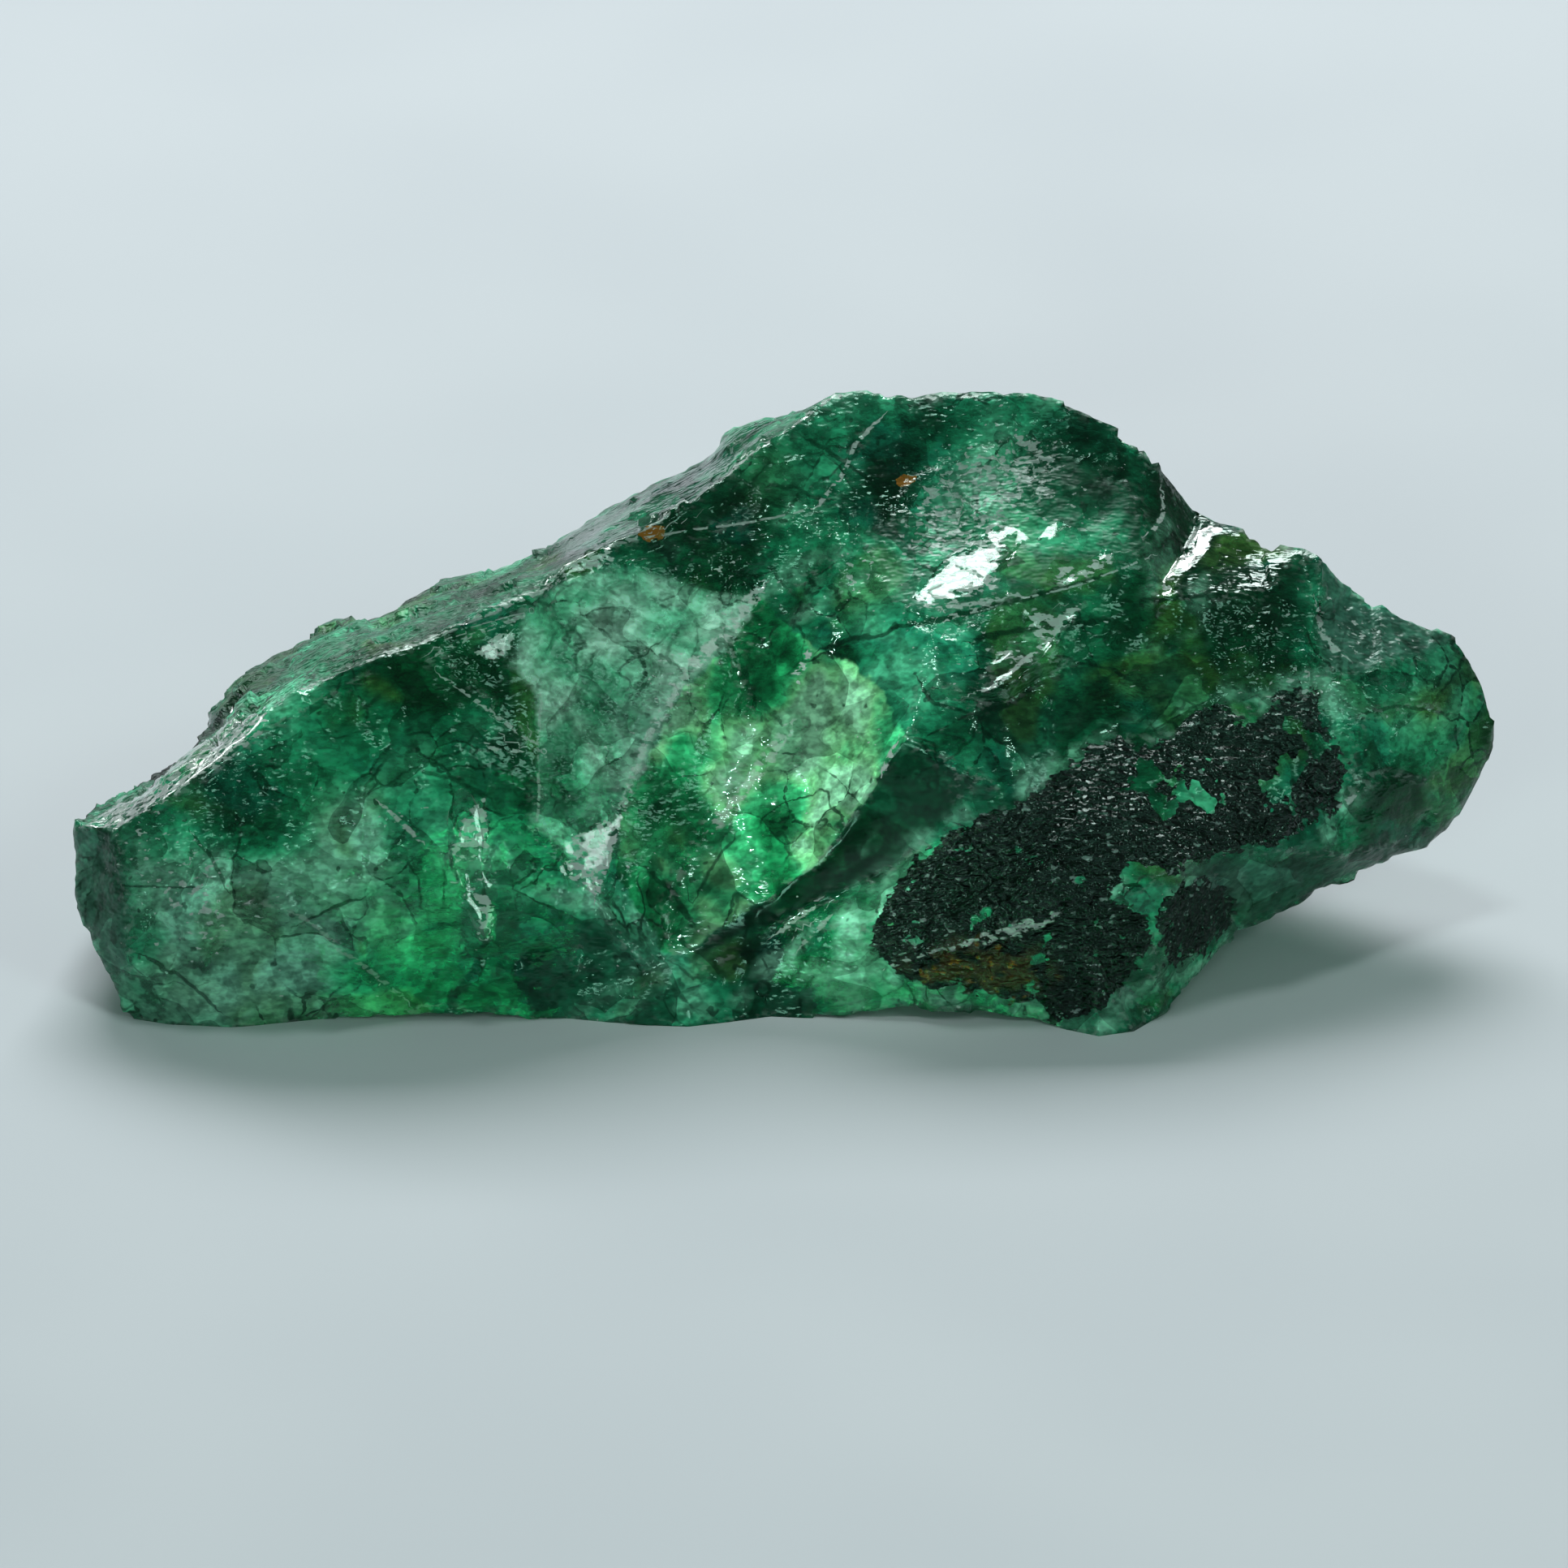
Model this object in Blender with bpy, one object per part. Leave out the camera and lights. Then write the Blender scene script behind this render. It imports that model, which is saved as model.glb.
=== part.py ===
"""Raw emerald crystal: one broken, many-sided stone that lies on its long side.

The stone is drawn on a board that leans back, as a gem draughtsman would draw it: each corner of the
side towards the viewer is (right, rise, back) in millimetres, where right runs along the stone, rise is
measured up the leaning board and back is the level distance behind the middle of the stone. Corners of
the far side and of the underside are plain (x, y, z) millimetres above the floor.

Ridges join the corners. Between them the skin is triangulated, given a fine and even net, and roughened
with low lumps and ledges. Chips are then struck out of it and it is ground flat where it rests.
"""

import math

import bmesh
import bpy
from mathutils import Vector, noise
from mathutils.geometry import delaunay_2d_cdt

# ---------------------------------------------------------------- driving dimensions
MM = 0.001
NAME = "emerald_crystal"
BOARD_LEAN = math.radians(28.0)
BOARD_HEIGHT = 8.5  # millimetres from the floor to the middle of the board
NET_STEP = 1.75  # millimetres between neighbouring points of the finished net
RIDGE_ANGLE = math.radians(24.0)  # a sharper fold is a ridge and stays sharp
SOFTEN_ROUNDS = 3
LUMP_HEIGHT, LUMP_SPAN = 0.22, 9.0  # millimetres, broad swellings of a face
LEDGE_HEIGHT, LEDGE_SPAN = 0.20, 11.0  # millimetres, growth steps
PIT_DEPTH, PIT_SPAN = 0.20, 6.5  # millimetres, shallow pits
CHIP_LEAST_SIDES, CHIP_MOST_SIDES = 24, 96
EMERALD_GREEN = (0.028, 0.135, 0.062, 1.0)

# ---------------------------------------------------------------- outline, clockwise from the left end
OUTLINE = [
    # top edge of the far side, left end to crown
    (-43.3, -2.2, -8.2), (-42.4, -1.8, -6.5), (-40.8, -0.9, -4.0), (-38.3, 0.6, 0.0), (-35.7, 3.5, 4.5),
    (-35.5, 4.4, 5.5), (-34.5, 5.2, 6.5), (-33.3, 6.9, 8.5), (-32.5, 7.7, 9.5), (-30.8, 8.6, 10.5),
    (-28.3, 9.8, 11.5), (-25.8, 10.6, 12.0), (-23.3, 11.3, 12.5), (-20.3, 12.7, 13.0), (-17.3, 13.7, 13.0),
    (-14.3, 15.1, 13.3), (-11.3, 16.7, 13.5), (-8.3, 18.4, 13.8), (-5.2, 19.9, 14.0), (-4.3, 21.1, 14.2),
    (-3.2, 22.2, 14.2), (-1.6, 22.7, 13.8), (0.2, 23.1, 13.0), (1.9, 23.2, 11.8), (3.2, 23.9, 10.5),
    # crown
    (5.7, 24.1, 10.8), (7.2, 24.0, 11.0), (9.2, 23.8, 11.0), (11.7, 24.1, 10.8), (14.7, 24.2, 10.5),
    (16.4, 23.9, 10.0), (18.4, 23.2, 9.5), (19.8, 22.5, 9.0), (20.7, 21.7, 8.8), (21.8, 20.6, 8.5),
    (22.3, 19.9, 8.0), (22.8, 19.2, 7.8), (24.2, 18.0, 8.2), (25.6, 16.6, 8.2), (26.5, 15.8, 7.2),
    # shoulder and right end
    (27.8, 15.4, 6.8), (29.2, 14.8, 6.2), (30.4, 14.3, 5.5), (31.8, 14.2, 4.8), (33.0, 13.8, 4.0),
    (33.7, 13.0, 4.2), (34.8, 12.0, 4.2), (36.0, 11.2, 4.0), (37.8, 10.6, 4.0), (39.5, 9.7, 3.6),
    (41.0, 8.9, 3.2), (41.9, 8.2, 3.0), (42.8, 7.0, 2.6), (43.4, 5.5, 2.0), (43.8, 3.7, 1.2),
    (43.8, 2.8, 1.0), (43.4, 1.6, 0.5), (42.8, 0.2, 0.0), (41.7, -1.7, -0.7), (40.7, -2.8, -1.2),
    # lower edge of the overhang, down to the right foot
    (39.6, -3.9, -2.0), (37.8, -4.5, -3.0), (36.3, -5.2, -4.0), (34.2, -6.2, -5.0), (31.9, -7.0, -6.2),
    (29.7, -8.2, -7.3), (27.8, -8.9, -8.0), (26.8, -9.9, -9.0), (25.7, -11.2, -10.5), (24.2, -13.0, -12.8),
    (22.8, -14.4, -14.5), (21.4, -15.2, -16.2), (19.2, -15.6, -16.8), (17.1, -15.1, -16.0),
    # front foot, right to left, with its low arches
    (15.2, -14.3, -15.0), (11.9, -13.9, -14.8), (9.2, -13.4, -14.7), (7.2, -13.5, -14.7), (5.5, -14.1, -14.8),
    (3.2, -14.3, -14.6), (-0.8, -14.4, -14.4), (-3.3, -14.8, -15.1), (-5.8, -15.1, -15.7),
    (-8.3, -15.0, -15.5), (-10.8, -14.8, -15.1), (-13.3, -14.4, -14.5), (-18.3, -14.2, -14.7),
    (-23.3, -14.1, -14.8), (-25.8, -14.1, -14.6), (-28.3, -14.5, -14.6), (-30.8, -14.8, -15.1),
    (-33.8, -15.1, -15.7), (-37.5, -14.8, -15.2), (-39.2, -14.6, -14.7),
    # left end, going up
    (-40.3, -13.9, -14.3), (-40.9, -12.9, -14.0), (-41.3, -11.7, -13.6), (-42.2, -10.3, -12.6),
    (-42.5, -9.2, -12.0), (-43.1, -7.8, -11.0), (-43.5, -6.6, -10.2), (-43.5, -4.7, -9.0),
    (-43.6, -3.3, -8.5),
]

# ---------------------------------------------------------------- ridges of the near side
FRONT_RIDGES = {
    "main_ridge": [
        (-42.7, -2.5, -9.5), (-39.3, -0.9, -9.0), (-36.3, 1.8, -8.5), (-33.3, 3.8, -8.0), (-30.8, 5.3, -7.5),
        (-28.3, 6.5, -7.0), (-25.8, 7.4, -6.7), (-23.3, 8.3, -6.2), (-20.8, 9.1, -5.5), (-18.3, 10.3, -4.5),
        (-16.3, 11.1, -3.5), (-14.8, 11.7, -2.5), (-13.3, 13.2, -0.5), (-10.6, 14.7, 1.5), (-7.5, 16.1, 3.0),
        (-5.8, 17.4, 4.4), (-3.3, 19.3, 6.2), (-0.8, 21.3, 7.8), (1.2, 22.5, 9.0), (3.2, 23.9, 10.5),
    ],
    "chamfer": [
        (-42.7, -2.5, -9.5), (-40.8, -2.3, -10.5), (-38.3, -1.3, -10.7), (-35.8, 0.1, -10.5),
        (-33.3, 1.9, -10.0), (-31.1, 3.4, -9.4), (-28.3, 5.2, -8.5), (-25.3, 6.7, -7.5), (-20.9, 7.7, -6.8),
    ],
    "left_end_edge": [
        (-40.8, -2.3, -10.5), (-40.3, -4.7, -12.0), (-40.0, -7.7, -13.6), (-39.8, -11.2, -14.8),
    ],
    "belly": [
        (-39.8, -11.2, -14.8), (-36.3, -9.2, -15.3), (-32.0, -7.0, -15.0), (-28.3, -8.7, -15.3),
        (-25.8, -10.9, -15.2), (-21.8, -13.4, -14.4),
    ],
    "step_line": [(-20.9, 7.7, -6.8), (-18.3, 5.3, -7.6), (-14.9, 2.5, -8.2)],
    "crease": [
        (-16.3, 7.3, -5.6), (-14.9, 5.3, -6.2), (-14.9, 2.5, -8.2), (-15.3, -2.2, -11.1),
        (-13.3, -4.2, -11.5), (-11.6, -6.8, -12.6),
    ],
    "glossy_triangle": [(-20.9, 7.7, -6.8), (-20.8, 9.1, -5.5), (-15.8, 10.8, -3.4), (-16.3, 7.3, -5.6)],
    "sliver_under_ridge": [(-14.8, 11.7, -2.5), (-13.8, 12.1, -1.2), (-11.3, 13.6, 0.6), (-10.6, 14.7, 1.5)],
    "brow": [
        (-10.6, 14.7, 1.5), (-8.3, 15.1, 2.3), (-5.8, 15.6, 3.1), (-3.3, 15.9, 3.7), (-0.8, 16.3, 4.1),
        (1.7, 16.9, 4.6), (2.5, 17.4, 5.0), (3.7, 19.3, 6.4), (4.2, 20.6, 7.4), (4.7, 21.6, 8.2),
        (5.5, 22.6, 9.3),
    ],
    "hazy_top": [
        (-13.8, 12.1, -1.2), (-10.3, 13.3, 0.5), (-6.8, 12.5, 0.9), (-4.3, 11.5, 1.0), (-1.6, 11.3, 1.6),
    ],
    "hazy_edge": [
        (-1.6, 11.3, 1.6), (-3.3, 8.6, -0.6), (-5.6, 6.3, -2.7), (-6.8, 4.8, -3.9), (-8.3, 1.3, -6.6),
        (-10.1, -2.0, -9.2), (-11.6, -6.8, -12.6),
    ],
    "window_hollow": [
        (1.7, 8.3, -2.0), (3.7, 4.3, -5.2), (1.7, 0.3, -6.4), (-5.8, -4.2, -8.7), (-7.3, -7.7, -10.9),
    ],
    "window_glow": [(1.7, 8.3, -2.0), (-1.8, 3.3, -3.7), (-5.8, -4.2, -8.7)],
    "window_ridge": [
        (7.2, 2.8, -8.5), (4.7, -1.0, -9.6), (2.2, -4.7, -10.8), (-4.3, -9.2, -12.4), (-6.8, -10.7, -13.2),
    ],
    "groove": [
        (7.2, 2.8, -8.5), (11.7, 0.3, -9.7), (8.7, -3.7, -10.1), (5.7, -5.7, -10.6), (-0.3, -8.2, -12.0),
        (-5.3, -11.5, -13.6),
    ],
    "highlight_edge": [
        (6.7, 11.5, -1.2), (7.9, 10.8, -1.9), (9.2, 10.7, -2.0), (11.7, 11.0, -1.8), (14.2, 11.5, -1.4),
        (16.7, 12.0, -0.8), (19.2, 13.0, 0.6), (22.2, 14.3, 2.6),
    ],
    "crown_foot": [
        (4.7, 15.3, 3.3), (7.2, 16.3, 4.1), (9.2, 17.7, 6.2), (11.7, 19.3, 7.2), (14.7, 20.7, 8.4),
        (17.2, 20.3, 7.6), (19.7, 19.0, 6.6), (21.7, 17.7, 5.6),
    ],
    "second_highlight": [
        (18.4, 11.1, -0.8), (13.0, 8.3, -3.7), (11.7, 5.5, -6.4), (13.4, 5.8, -6.1), (15.9, 7.5, -4.5),
        (18.4, 11.1, -0.8),
    ],
    "second_highlight_foot": [(11.5, 4.9, -6.4), (13.7, 5.2, -5.9), (16.4, 6.9, -4.1)],
    "schist_edge": [
        (4.9, -9.0, -13.6), (6.2, -7.2, -12.4), (9.2, -4.0, -10.7), (11.9, -2.5, -10.4), (14.8, -1.0, -10.2),
        (16.7, 0.8, -8.9), (19.2, 2.5, -7.3), (23.2, 2.7, -6.4), (25.7, 3.8, -5.2), (29.7, 4.8, -3.8),
        (32.7, 5.8, -2.6),
    ],
    "keel": [
        (4.9, -9.0, -13.6), (6.7, -9.9, -14.3), (11.7, -9.7, -14.7), (15.7, -7.7, -14.6), (21.7, -6.2, -13.4),
        (25.7, -4.2, -11.2), (29.7, -4.0, -9.5), (33.7, -4.4, -7.2), (36.7, -4.0, -5.0), (40.7, -2.8, -1.2),
    ],
    "notch_upper": [(26.5, 15.8, 7.2), (25.1, 13.7, 3.2), (23.4, 11.5, -0.2)],
    "notch_lower": [(25.6, 16.6, 8.2), (24.2, 13.8, 3.9), (22.8, 11.4, 0.0), (23.4, 11.5, -0.2)],
    "grainy_face": [
        (33.0, 13.8, 4.0), (32.9, 9.8, 0.6), (33.2, 6.8, -1.7), (35.2, 7.0, -0.5), (38.7, 7.8, 1.0),
        (41.0, 8.9, 3.2),
    ],
    "right_seam": [(35.7, 4.3, -2.4), (37.7, 4.9, -1.7), (40.7, 4.4, -0.4), (43.8, 3.7, 1.2)],
    "right_lobe": [
        (35.7, 4.3, -2.4), (34.9, 3.1, -3.3), (34.7, -1.2, -5.6), (36.7, 0.3, -4.0), (40.2, 0.3, -2.0),
    ],
    "far_strip": [
        (-33.5, 5.6, 1.0), (-28.3, 8.6, 2.0), (-23.0, 10.4, 3.0), (-17.0, 12.8, 5.0), (-12.0, 15.3, 7.5),
        (-8.0, 17.5, 9.0), (-5.0, 19.2, 10.0), (-2.5, 20.9, 10.3), (0.0, 22.5, 11.3),
    ],
}

# Single corners that hold a broad face at its depth.
FACE_CORNERS = {
    "middle_right_face": [
        (9.7, 8.3, -4.2), (8.6, 6.0, -6.2), (18.0, 7.4, -3.6), (22.0, 9.0, -1.7), (27.0, 8.0, -1.6),
        (29.0, 11.5, 1.3), (24.0, 5.5, -4.0), (12.0, 2.5, -8.1), (18.0, 4.0, -6.1), (20.6, 11.4, -0.2),
    ],
    "centre_face": [(3.2, 11.6, 0.2), (3.2, 13.6, 2.1)],
    "hazy_face": [(-9.0, 9.0, -1.8), (-11.0, 4.0, -5.5)],
    "left_face": [
        (-35.5, -3.5, -12.3), (-29.0, -0.5, -11.4), (-23.5, 2.2, -10.0), (-25.0, -6.0, -14.0),
        (-19.5, -2.0, -11.8),
    ],
    "front_foot": [(-16.0, -9.5, -14.4), (-8.0, -12.5, -14.6), (1.5, -11.6, -14.0)],
    "schist_face": [(17.0, -4.0, -12.6), (22.0, -1.5, -10.2), (28.0, 0.5, -7.0), (31.5, 1.6, -5.2)],
    "foot_lobe": [(14.0, -11.8, -14.9), (19.0, -11.0, -15.5), (22.6, -9.6, -13.8)],
}

# ---------------------------------------------------------------- far side and underside, as (x, y, z)
BACK_RIDGES = {
    "back_shoulder": [
        (-16.0, 14.9, 15.0), (-9.0, 15.6, 17.6), (-3.0, 16.6, 21.0), (4.0, 14.4, 24.5), (10.0, 14.6, 25.0),
        (16.0, 12.4, 23.6), (22.0, 11.6, 20.0),
    ],
    "back_brow": [
        (-36.5, 5.5, 7.5), (-31.5, 11.5, 8.0), (-25.5, 14.5, 10.5), (-18.5, 16.4, 9.5), (-11.5, 16.5, 13.5),
        (-5.0, 17.6, 14.8), (1.5, 16.6, 19.0), (7.5, 15.0, 17.5), (13.5, 14.9, 20.2), (19.0, 13.4, 16.5),
        (24.5, 12.4, 16.2), (30.0, 9.8, 13.2), (36.0, 7.5, 12.5), (41.0, 4.6, 11.0),
    ],
    "back_waist": [
        (-37.0, 5.0, 3.2), (-29.5, 11.2, 4.6), (-21.0, 14.9, 2.6), (-12.0, 15.0, 6.2), (-3.0, 15.9, 5.6),
        (5.0, 14.4, 8.8), (12.0, 13.4, 6.2), (19.5, 11.2, 9.6), (27.0, 9.4, 7.2), (34.0, 6.0, 8.0),
    ],
    "back_foot": [
        (-37.5, 2.5, 0.6), (-30.0, 8.5, 0.8), (-20.0, 12.0, 0.9), (-9.0, 12.4, 0.4), (1.0, 11.2, 0.8),
        (8.0, 8.6, 1.4), (14.0, 6.0, 2.0), (20.5, 5.5, 3.0), (27.0, 4.0, 4.0), (34.0, 1.5, 5.0),
    ],
    "slanting_rib": [(-25.5, 14.5, 10.5), (-21.0, 14.9, 2.6)],
    "middle_rib": [(1.5, 16.6, 19.0), (-3.0, 15.9, 5.6)],
    "right_rib": [(19.0, 13.4, 16.5), (12.0, 13.4, 6.2)],
    "left_end": [(-42.0, 0.5, 5.0), (-42.8, -4.0, 6.0), (-41.8, -8.0, 3.0), (-40.5, -3.0, 1.0)],
    "left_pad": [
        (-37.0, -9.0, -0.4), (-30.5, -11.0, -0.5), (-29.0, -2.0, -0.4), (-35.5, -1.0, -0.3),
        (-37.0, -9.0, -0.4),
    ],
    "left_arch": [(-24.0, -9.0, 1.0), (-21.5, -1.0, 1.3), (-22.5, 6.5, 0.9)],
    "middle_pad": [
        (-15.0, -11.0, -0.4), (-12.0, 4.0, -0.5), (-3.0, 5.0, -0.5), (-1.0, -8.0, -0.4), (-15.0, -11.0, -0.4),
    ],
    "right_arch": [(6.0, -9.0, 1.2), (8.0, -1.0, 1.6), (6.0, 5.5, 1.2)],
    "right_pad": [(17.5, -13.0, -0.35), (20.8, -12.5, -0.3), (19.5, -8.5, -0.3), (17.5, -13.0, -0.35)],
    "right_underside": [
        (13.0, -7.0, 1.6), (15.0, 0.0, 1.8), (20.0, -3.0, 1.6), (24.0, -6.0, 2.2), (26.0, -1.0, 3.4),
        (31.0, -3.0, 4.2), (36.0, -1.5, 5.0), (39.5, 0.0, 6.5),
    ],
}

# Round-bottomed chips struck out of the stone: centre, radii and turns about X, Y and Z in degrees.
CHIPS = {
    "left_face_chip": ((-19.2, -14.1, 10.2), (1.5, 1.6, 5.2), (-35.0, -4.0, 0.0)),
    "bubble": ((-1.3, -14.6, 1.2), (0.7, 0.7, 0.7), (0.0, 0.0, 0.0)),
    "back_left_chip": ((-17.0, 43.2, 8.5), (29.0, 29.0, 24.0), (0.0, 20.0, 0.0)),
    "back_crown_chip": ((8.5, 40.8, 29.0), (24.0, 29.0, 29.0), (0.0, 0.0, 10.0)),
    "back_right_chip": ((33.0, 29.8, 20.5), (23.0, 23.0, 19.0), (0.0, 30.0, 0.0)),
    "left_end_chip": ((-55.6, -1.5, 5.0), (14.0, 12.0, 14.0), (0.0, 0.0, 0.0)),
}
FLOOR_CUT = ((120.0, 80.0, 10.0), (0.0, 0.0, -5.0))  # size and centre of the slab that grinds the stone flat
MIDDLE = (0.16, 0.45)  # where the middle of the stone's box falls on the drawing, along X and Y


# ---------------------------------------------------------------- drawing board
def corner(right, rise, back):
    """A corner drawn on the leaning board as x, y, z millimetres."""
    up = (rise - back * math.sin(BOARD_LEAN)) / math.cos(BOARD_LEAN)
    return Vector((right, back, BOARD_HEIGHT + up))


def on_board(point):
    """Where a point of the stone is seen on the board."""
    rise = point.y * math.sin(BOARD_LEAN) + (point.z - BOARD_HEIGHT) * math.cos(BOARD_LEAN)
    return Vector((point.x, rise))


class Net:
    """Points and the edges drawn between them, each point held once."""

    def __init__(self):
        self.points = []
        self.edges = []
        self.index = {}

    def add(self, point):
        key = tuple(round(value, 4) for value in point)
        if key not in self.index:
            self.index[key] = len(self.points)
            self.points.append(Vector(point))
        return self.index[key]

    def run(self, points, closed=False):
        """Draws a line through points, and back to the first where closed."""
        places = [self.add(point) for point in points]
        following = places[1:] + places[:1] if closed else places[1:]
        self.edges += [(a, b) for a, b in zip(places, following) if a != b]

    def triangles(self):
        """The skin between the drawn lines, as triangles seen from the front of the board."""
        flat = [on_board(point) for point in self.points]
        found = delaunay_2d_cdt(flat, self.edges, [], 1, 1e-5, True)
        owners = found[3]
        if len(owners) != len(self.points):
            lost = [tuple(round(v, 2) for v in found[0][i]) for i, own in enumerate(owners) if not own]
            raise ValueError(f"ridges cross at {lost}")
        return [[owners[i][0] for i in face] for face in found[2]]


def coarse_sheet(outline, ridges):
    """One side of the stone: its outline, its ridges and the large facets between them."""
    net = Net()
    net.run(outline, closed=True)
    for ridge in ridges:
        net.run(ridge)
    return net, net.triangles()


def split_evenly(a, b, step):
    """Points from a up to but not including b, no further apart than step."""
    parts = max(1, round((b - a).length / step))
    return [a.lerp(b, i / parts) for i in range(parts)]


def lattice(low, high, step):
    """An even triangular lattice over a rectangle of the board."""
    row_step = step * math.sqrt(3.0) / 2.0
    rows = int((high.y - low.y) / row_step) + 1
    columns = int((high.x - low.x) / step) + 1
    for row in range(rows):
        for column in range(columns):
            yield Vector((low.x + (column + 0.5 * (row % 2)) * step, low.y + row * row_step))


def inside(point, a, b, c):
    """Shares of a, b and c at a point of the board, or None outside their triangle."""
    ab, ac, ap = b - a, c - a, point - a
    area = ab.cross(ac)
    if abs(area) < 1e-9:
        return None
    beta = ap.cross(ac) / area
    gamma = ab.cross(ap) / area
    if beta < 0.0 or gamma < 0.0 or beta + gamma > 1.0:
        return None
    return 1.0 - beta - gamma, beta, gamma


def fine_sheet(net, faces, step):
    """The same facets with a fine net, every ridge kept and split evenly."""
    fine = Net()
    edges = {tuple(sorted((face[i], face[i - 1]))) for face in faces for i in range(3)}
    for a, b in sorted(edges):
        start, end = net.points[a], net.points[b]
        fine.run([*split_evenly(start, end, step), end])
    flat = [on_board(point) for point in net.points]
    for face in faces:
        a, b, c = (flat[i] for i in face)
        shape = [net.points[i] for i in face]
        flat_area = max(abs((b - a).cross(c - a)), 1e-6)
        stretch = (shape[1] - shape[0]).cross(shape[2] - shape[0]).length / flat_area
        pitch = step / math.sqrt(min(stretch, 3.0))
        clear = 0.5 * pitch
        low = Vector((min(a.x, b.x, c.x), min(a.y, b.y, c.y)))
        high = Vector((max(a.x, b.x, c.x), max(a.y, b.y, c.y)))
        for spot in lattice(low, high, pitch):
            shares = inside(spot, a, b, c)
            if shares and all(away(spot, p, q) > clear for p, q in ((a, b), (b, c), (c, a))):
                fine.add(shape[0] * shares[0] + shape[1] * shares[1] + shape[2] * shares[2])
    return fine, fine.triangles()


def away(point, a, b):
    """How far a point of the board is from the line through a and b."""
    return abs((b - a).cross(point - a)) / max((b - a).length, 1e-9)


# ---------------------------------------------------------------- stone
def raw_stone():
    """Both sheets sewn along the outline, as one closed mesh in millimetres, and its ridge points."""
    outline = [corner(*place) for place in OUTLINE]
    front_lines = [[corner(*place) for place in run] for run in FRONT_RIDGES.values()]
    front_lines += [[corner(*place)] for run in FACE_CORNERS.values() for place in run]
    back_lines = [[Vector(place) for place in run] for run in BACK_RIDGES.values()]
    mesh = bmesh.new()
    held = {}

    def vertex(point):
        key = tuple(round(value, 3) for value in point)
        if key not in held:
            held[key] = mesh.verts.new(point)
        return held[key]

    for lines, towards_viewer in ((front_lines, True), (back_lines, False)):
        net, faces = coarse_sheet(outline, lines)
        fine, triangles = fine_sheet(net, faces, NET_STEP)
        for face in triangles:
            corners = [vertex(fine.points[i]) for i in face]
            twin = mesh.faces.get(corners)
            if twin:  # both sheets lie flat together here, so neither is needed
                mesh.faces.remove(twin)
            else:
                mesh.faces.new(corners if towards_viewer else corners[::-1])
    bmesh.ops.delete(mesh, geom=[edge for edge in mesh.edges if not edge.link_faces], context="EDGES")
    bmesh.ops.delete(mesh, geom=[place for place in mesh.verts if not place.link_faces], context="VERTS")
    bmesh.ops.recalc_face_normals(mesh, faces=mesh.faces)
    return mesh


def soften_folds(mesh):
    """Rounds the slight folds within a face and leaves every true ridge sharp."""
    for _ in range(SOFTEN_ROUNDS):
        mesh.normal_update()
        moves = {}
        for place in mesh.verts:
            folds = [edge.calc_face_angle(0.0) for edge in place.link_edges]
            if max(folds) < RIDGE_ANGLE:
                middle = sum((edge.other_vert(place).co for edge in place.link_edges), Vector()) / len(folds)
                moves[place] = place.co.lerp(middle, 0.5)
        for place, target in moves.items():
            place.co = target


def relief(point):
    """Height of the rough skin at a point, in millimetres: lumps, growth steps and pits."""
    lumps = noise.noise(point / LUMP_SPAN) + 0.5 * noise.noise(point / (0.45 * LUMP_SPAN))
    climb = 3.0 * noise.noise(point / LEDGE_SPAN + Vector((9.0, 4.0, 2.0)))
    ledges = round(climb) - climb
    nearest = noise.voronoi(point / PIT_SPAN)[0][0]
    pits = max(0.0, 0.35 - nearest) / 0.35
    return LUMP_HEIGHT * lumps + LEDGE_HEIGHT * ledges - PIT_DEPTH * pits


def roughen(mesh):
    """Moves every point out or in along its normal by the relief there."""
    mesh.normal_update()
    moves = [(place, place.normal * relief(place.co)) for place in mesh.verts]
    for place, move in moves:
        place.co += move


def chip_cutter(name, centre, radii, turns):
    """An ellipsoid that strikes one round-bottomed chip out of the stone."""
    mesh = bmesh.new()
    around = min(CHIP_MOST_SIDES, max(CHIP_LEAST_SIDES, round(math.tau * max(radii) / NET_STEP)))
    bmesh.ops.create_uvsphere(mesh, u_segments=around, v_segments=around // 2, radius=1.0)
    bmesh.ops.scale(mesh, vec=Vector(radii) * MM, verts=mesh.verts)
    return cutter(name, mesh, centre, turns)


def floor_cutter():
    """The slab whose top is the floor."""
    size, centre = FLOOR_CUT
    mesh = bmesh.new()
    bmesh.ops.create_cube(mesh, size=1.0)
    bmesh.ops.scale(mesh, vec=Vector(size) * MM, verts=mesh.verts)
    return cutter("floor_slab", mesh, centre, (0.0, 0.0, 0.0))


def cutter(name, mesh, centre, turns):
    """A hidden wire object made from a mesh, put in its place."""
    data = bpy.data.meshes.new(name)
    mesh.to_mesh(data)
    mesh.free()
    tool = bpy.data.objects.new(name, data)
    tool.location = Vector(centre) * MM
    tool.rotation_euler = [math.radians(turn) for turn in turns]
    tool.hide_render = True
    tool.display_type = "WIRE"
    return tool


def cut(stone, tool):
    """Takes the tool's shape out of the stone."""
    modifier = stone.modifiers.new(tool.name, "BOOLEAN")
    modifier.operation = "DIFFERENCE"
    modifier.solver = "EXACT"
    modifier.object = tool


def emerald_material():
    """Clear green beryl with a slightly rough broken skin."""
    material = bpy.data.materials.new("emerald")
    material.use_nodes = True
    shader = material.node_tree.nodes["Principled BSDF"]
    shader.inputs["Base Color"].default_value = EMERALD_GREEN
    shader.inputs["Roughness"].default_value = 0.2
    shader.inputs["Metallic"].default_value = 0.0
    shader.inputs["IOR"].default_value = 1.58
    shader.inputs["Transmission Weight"].default_value = 0.4
    return material


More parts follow.
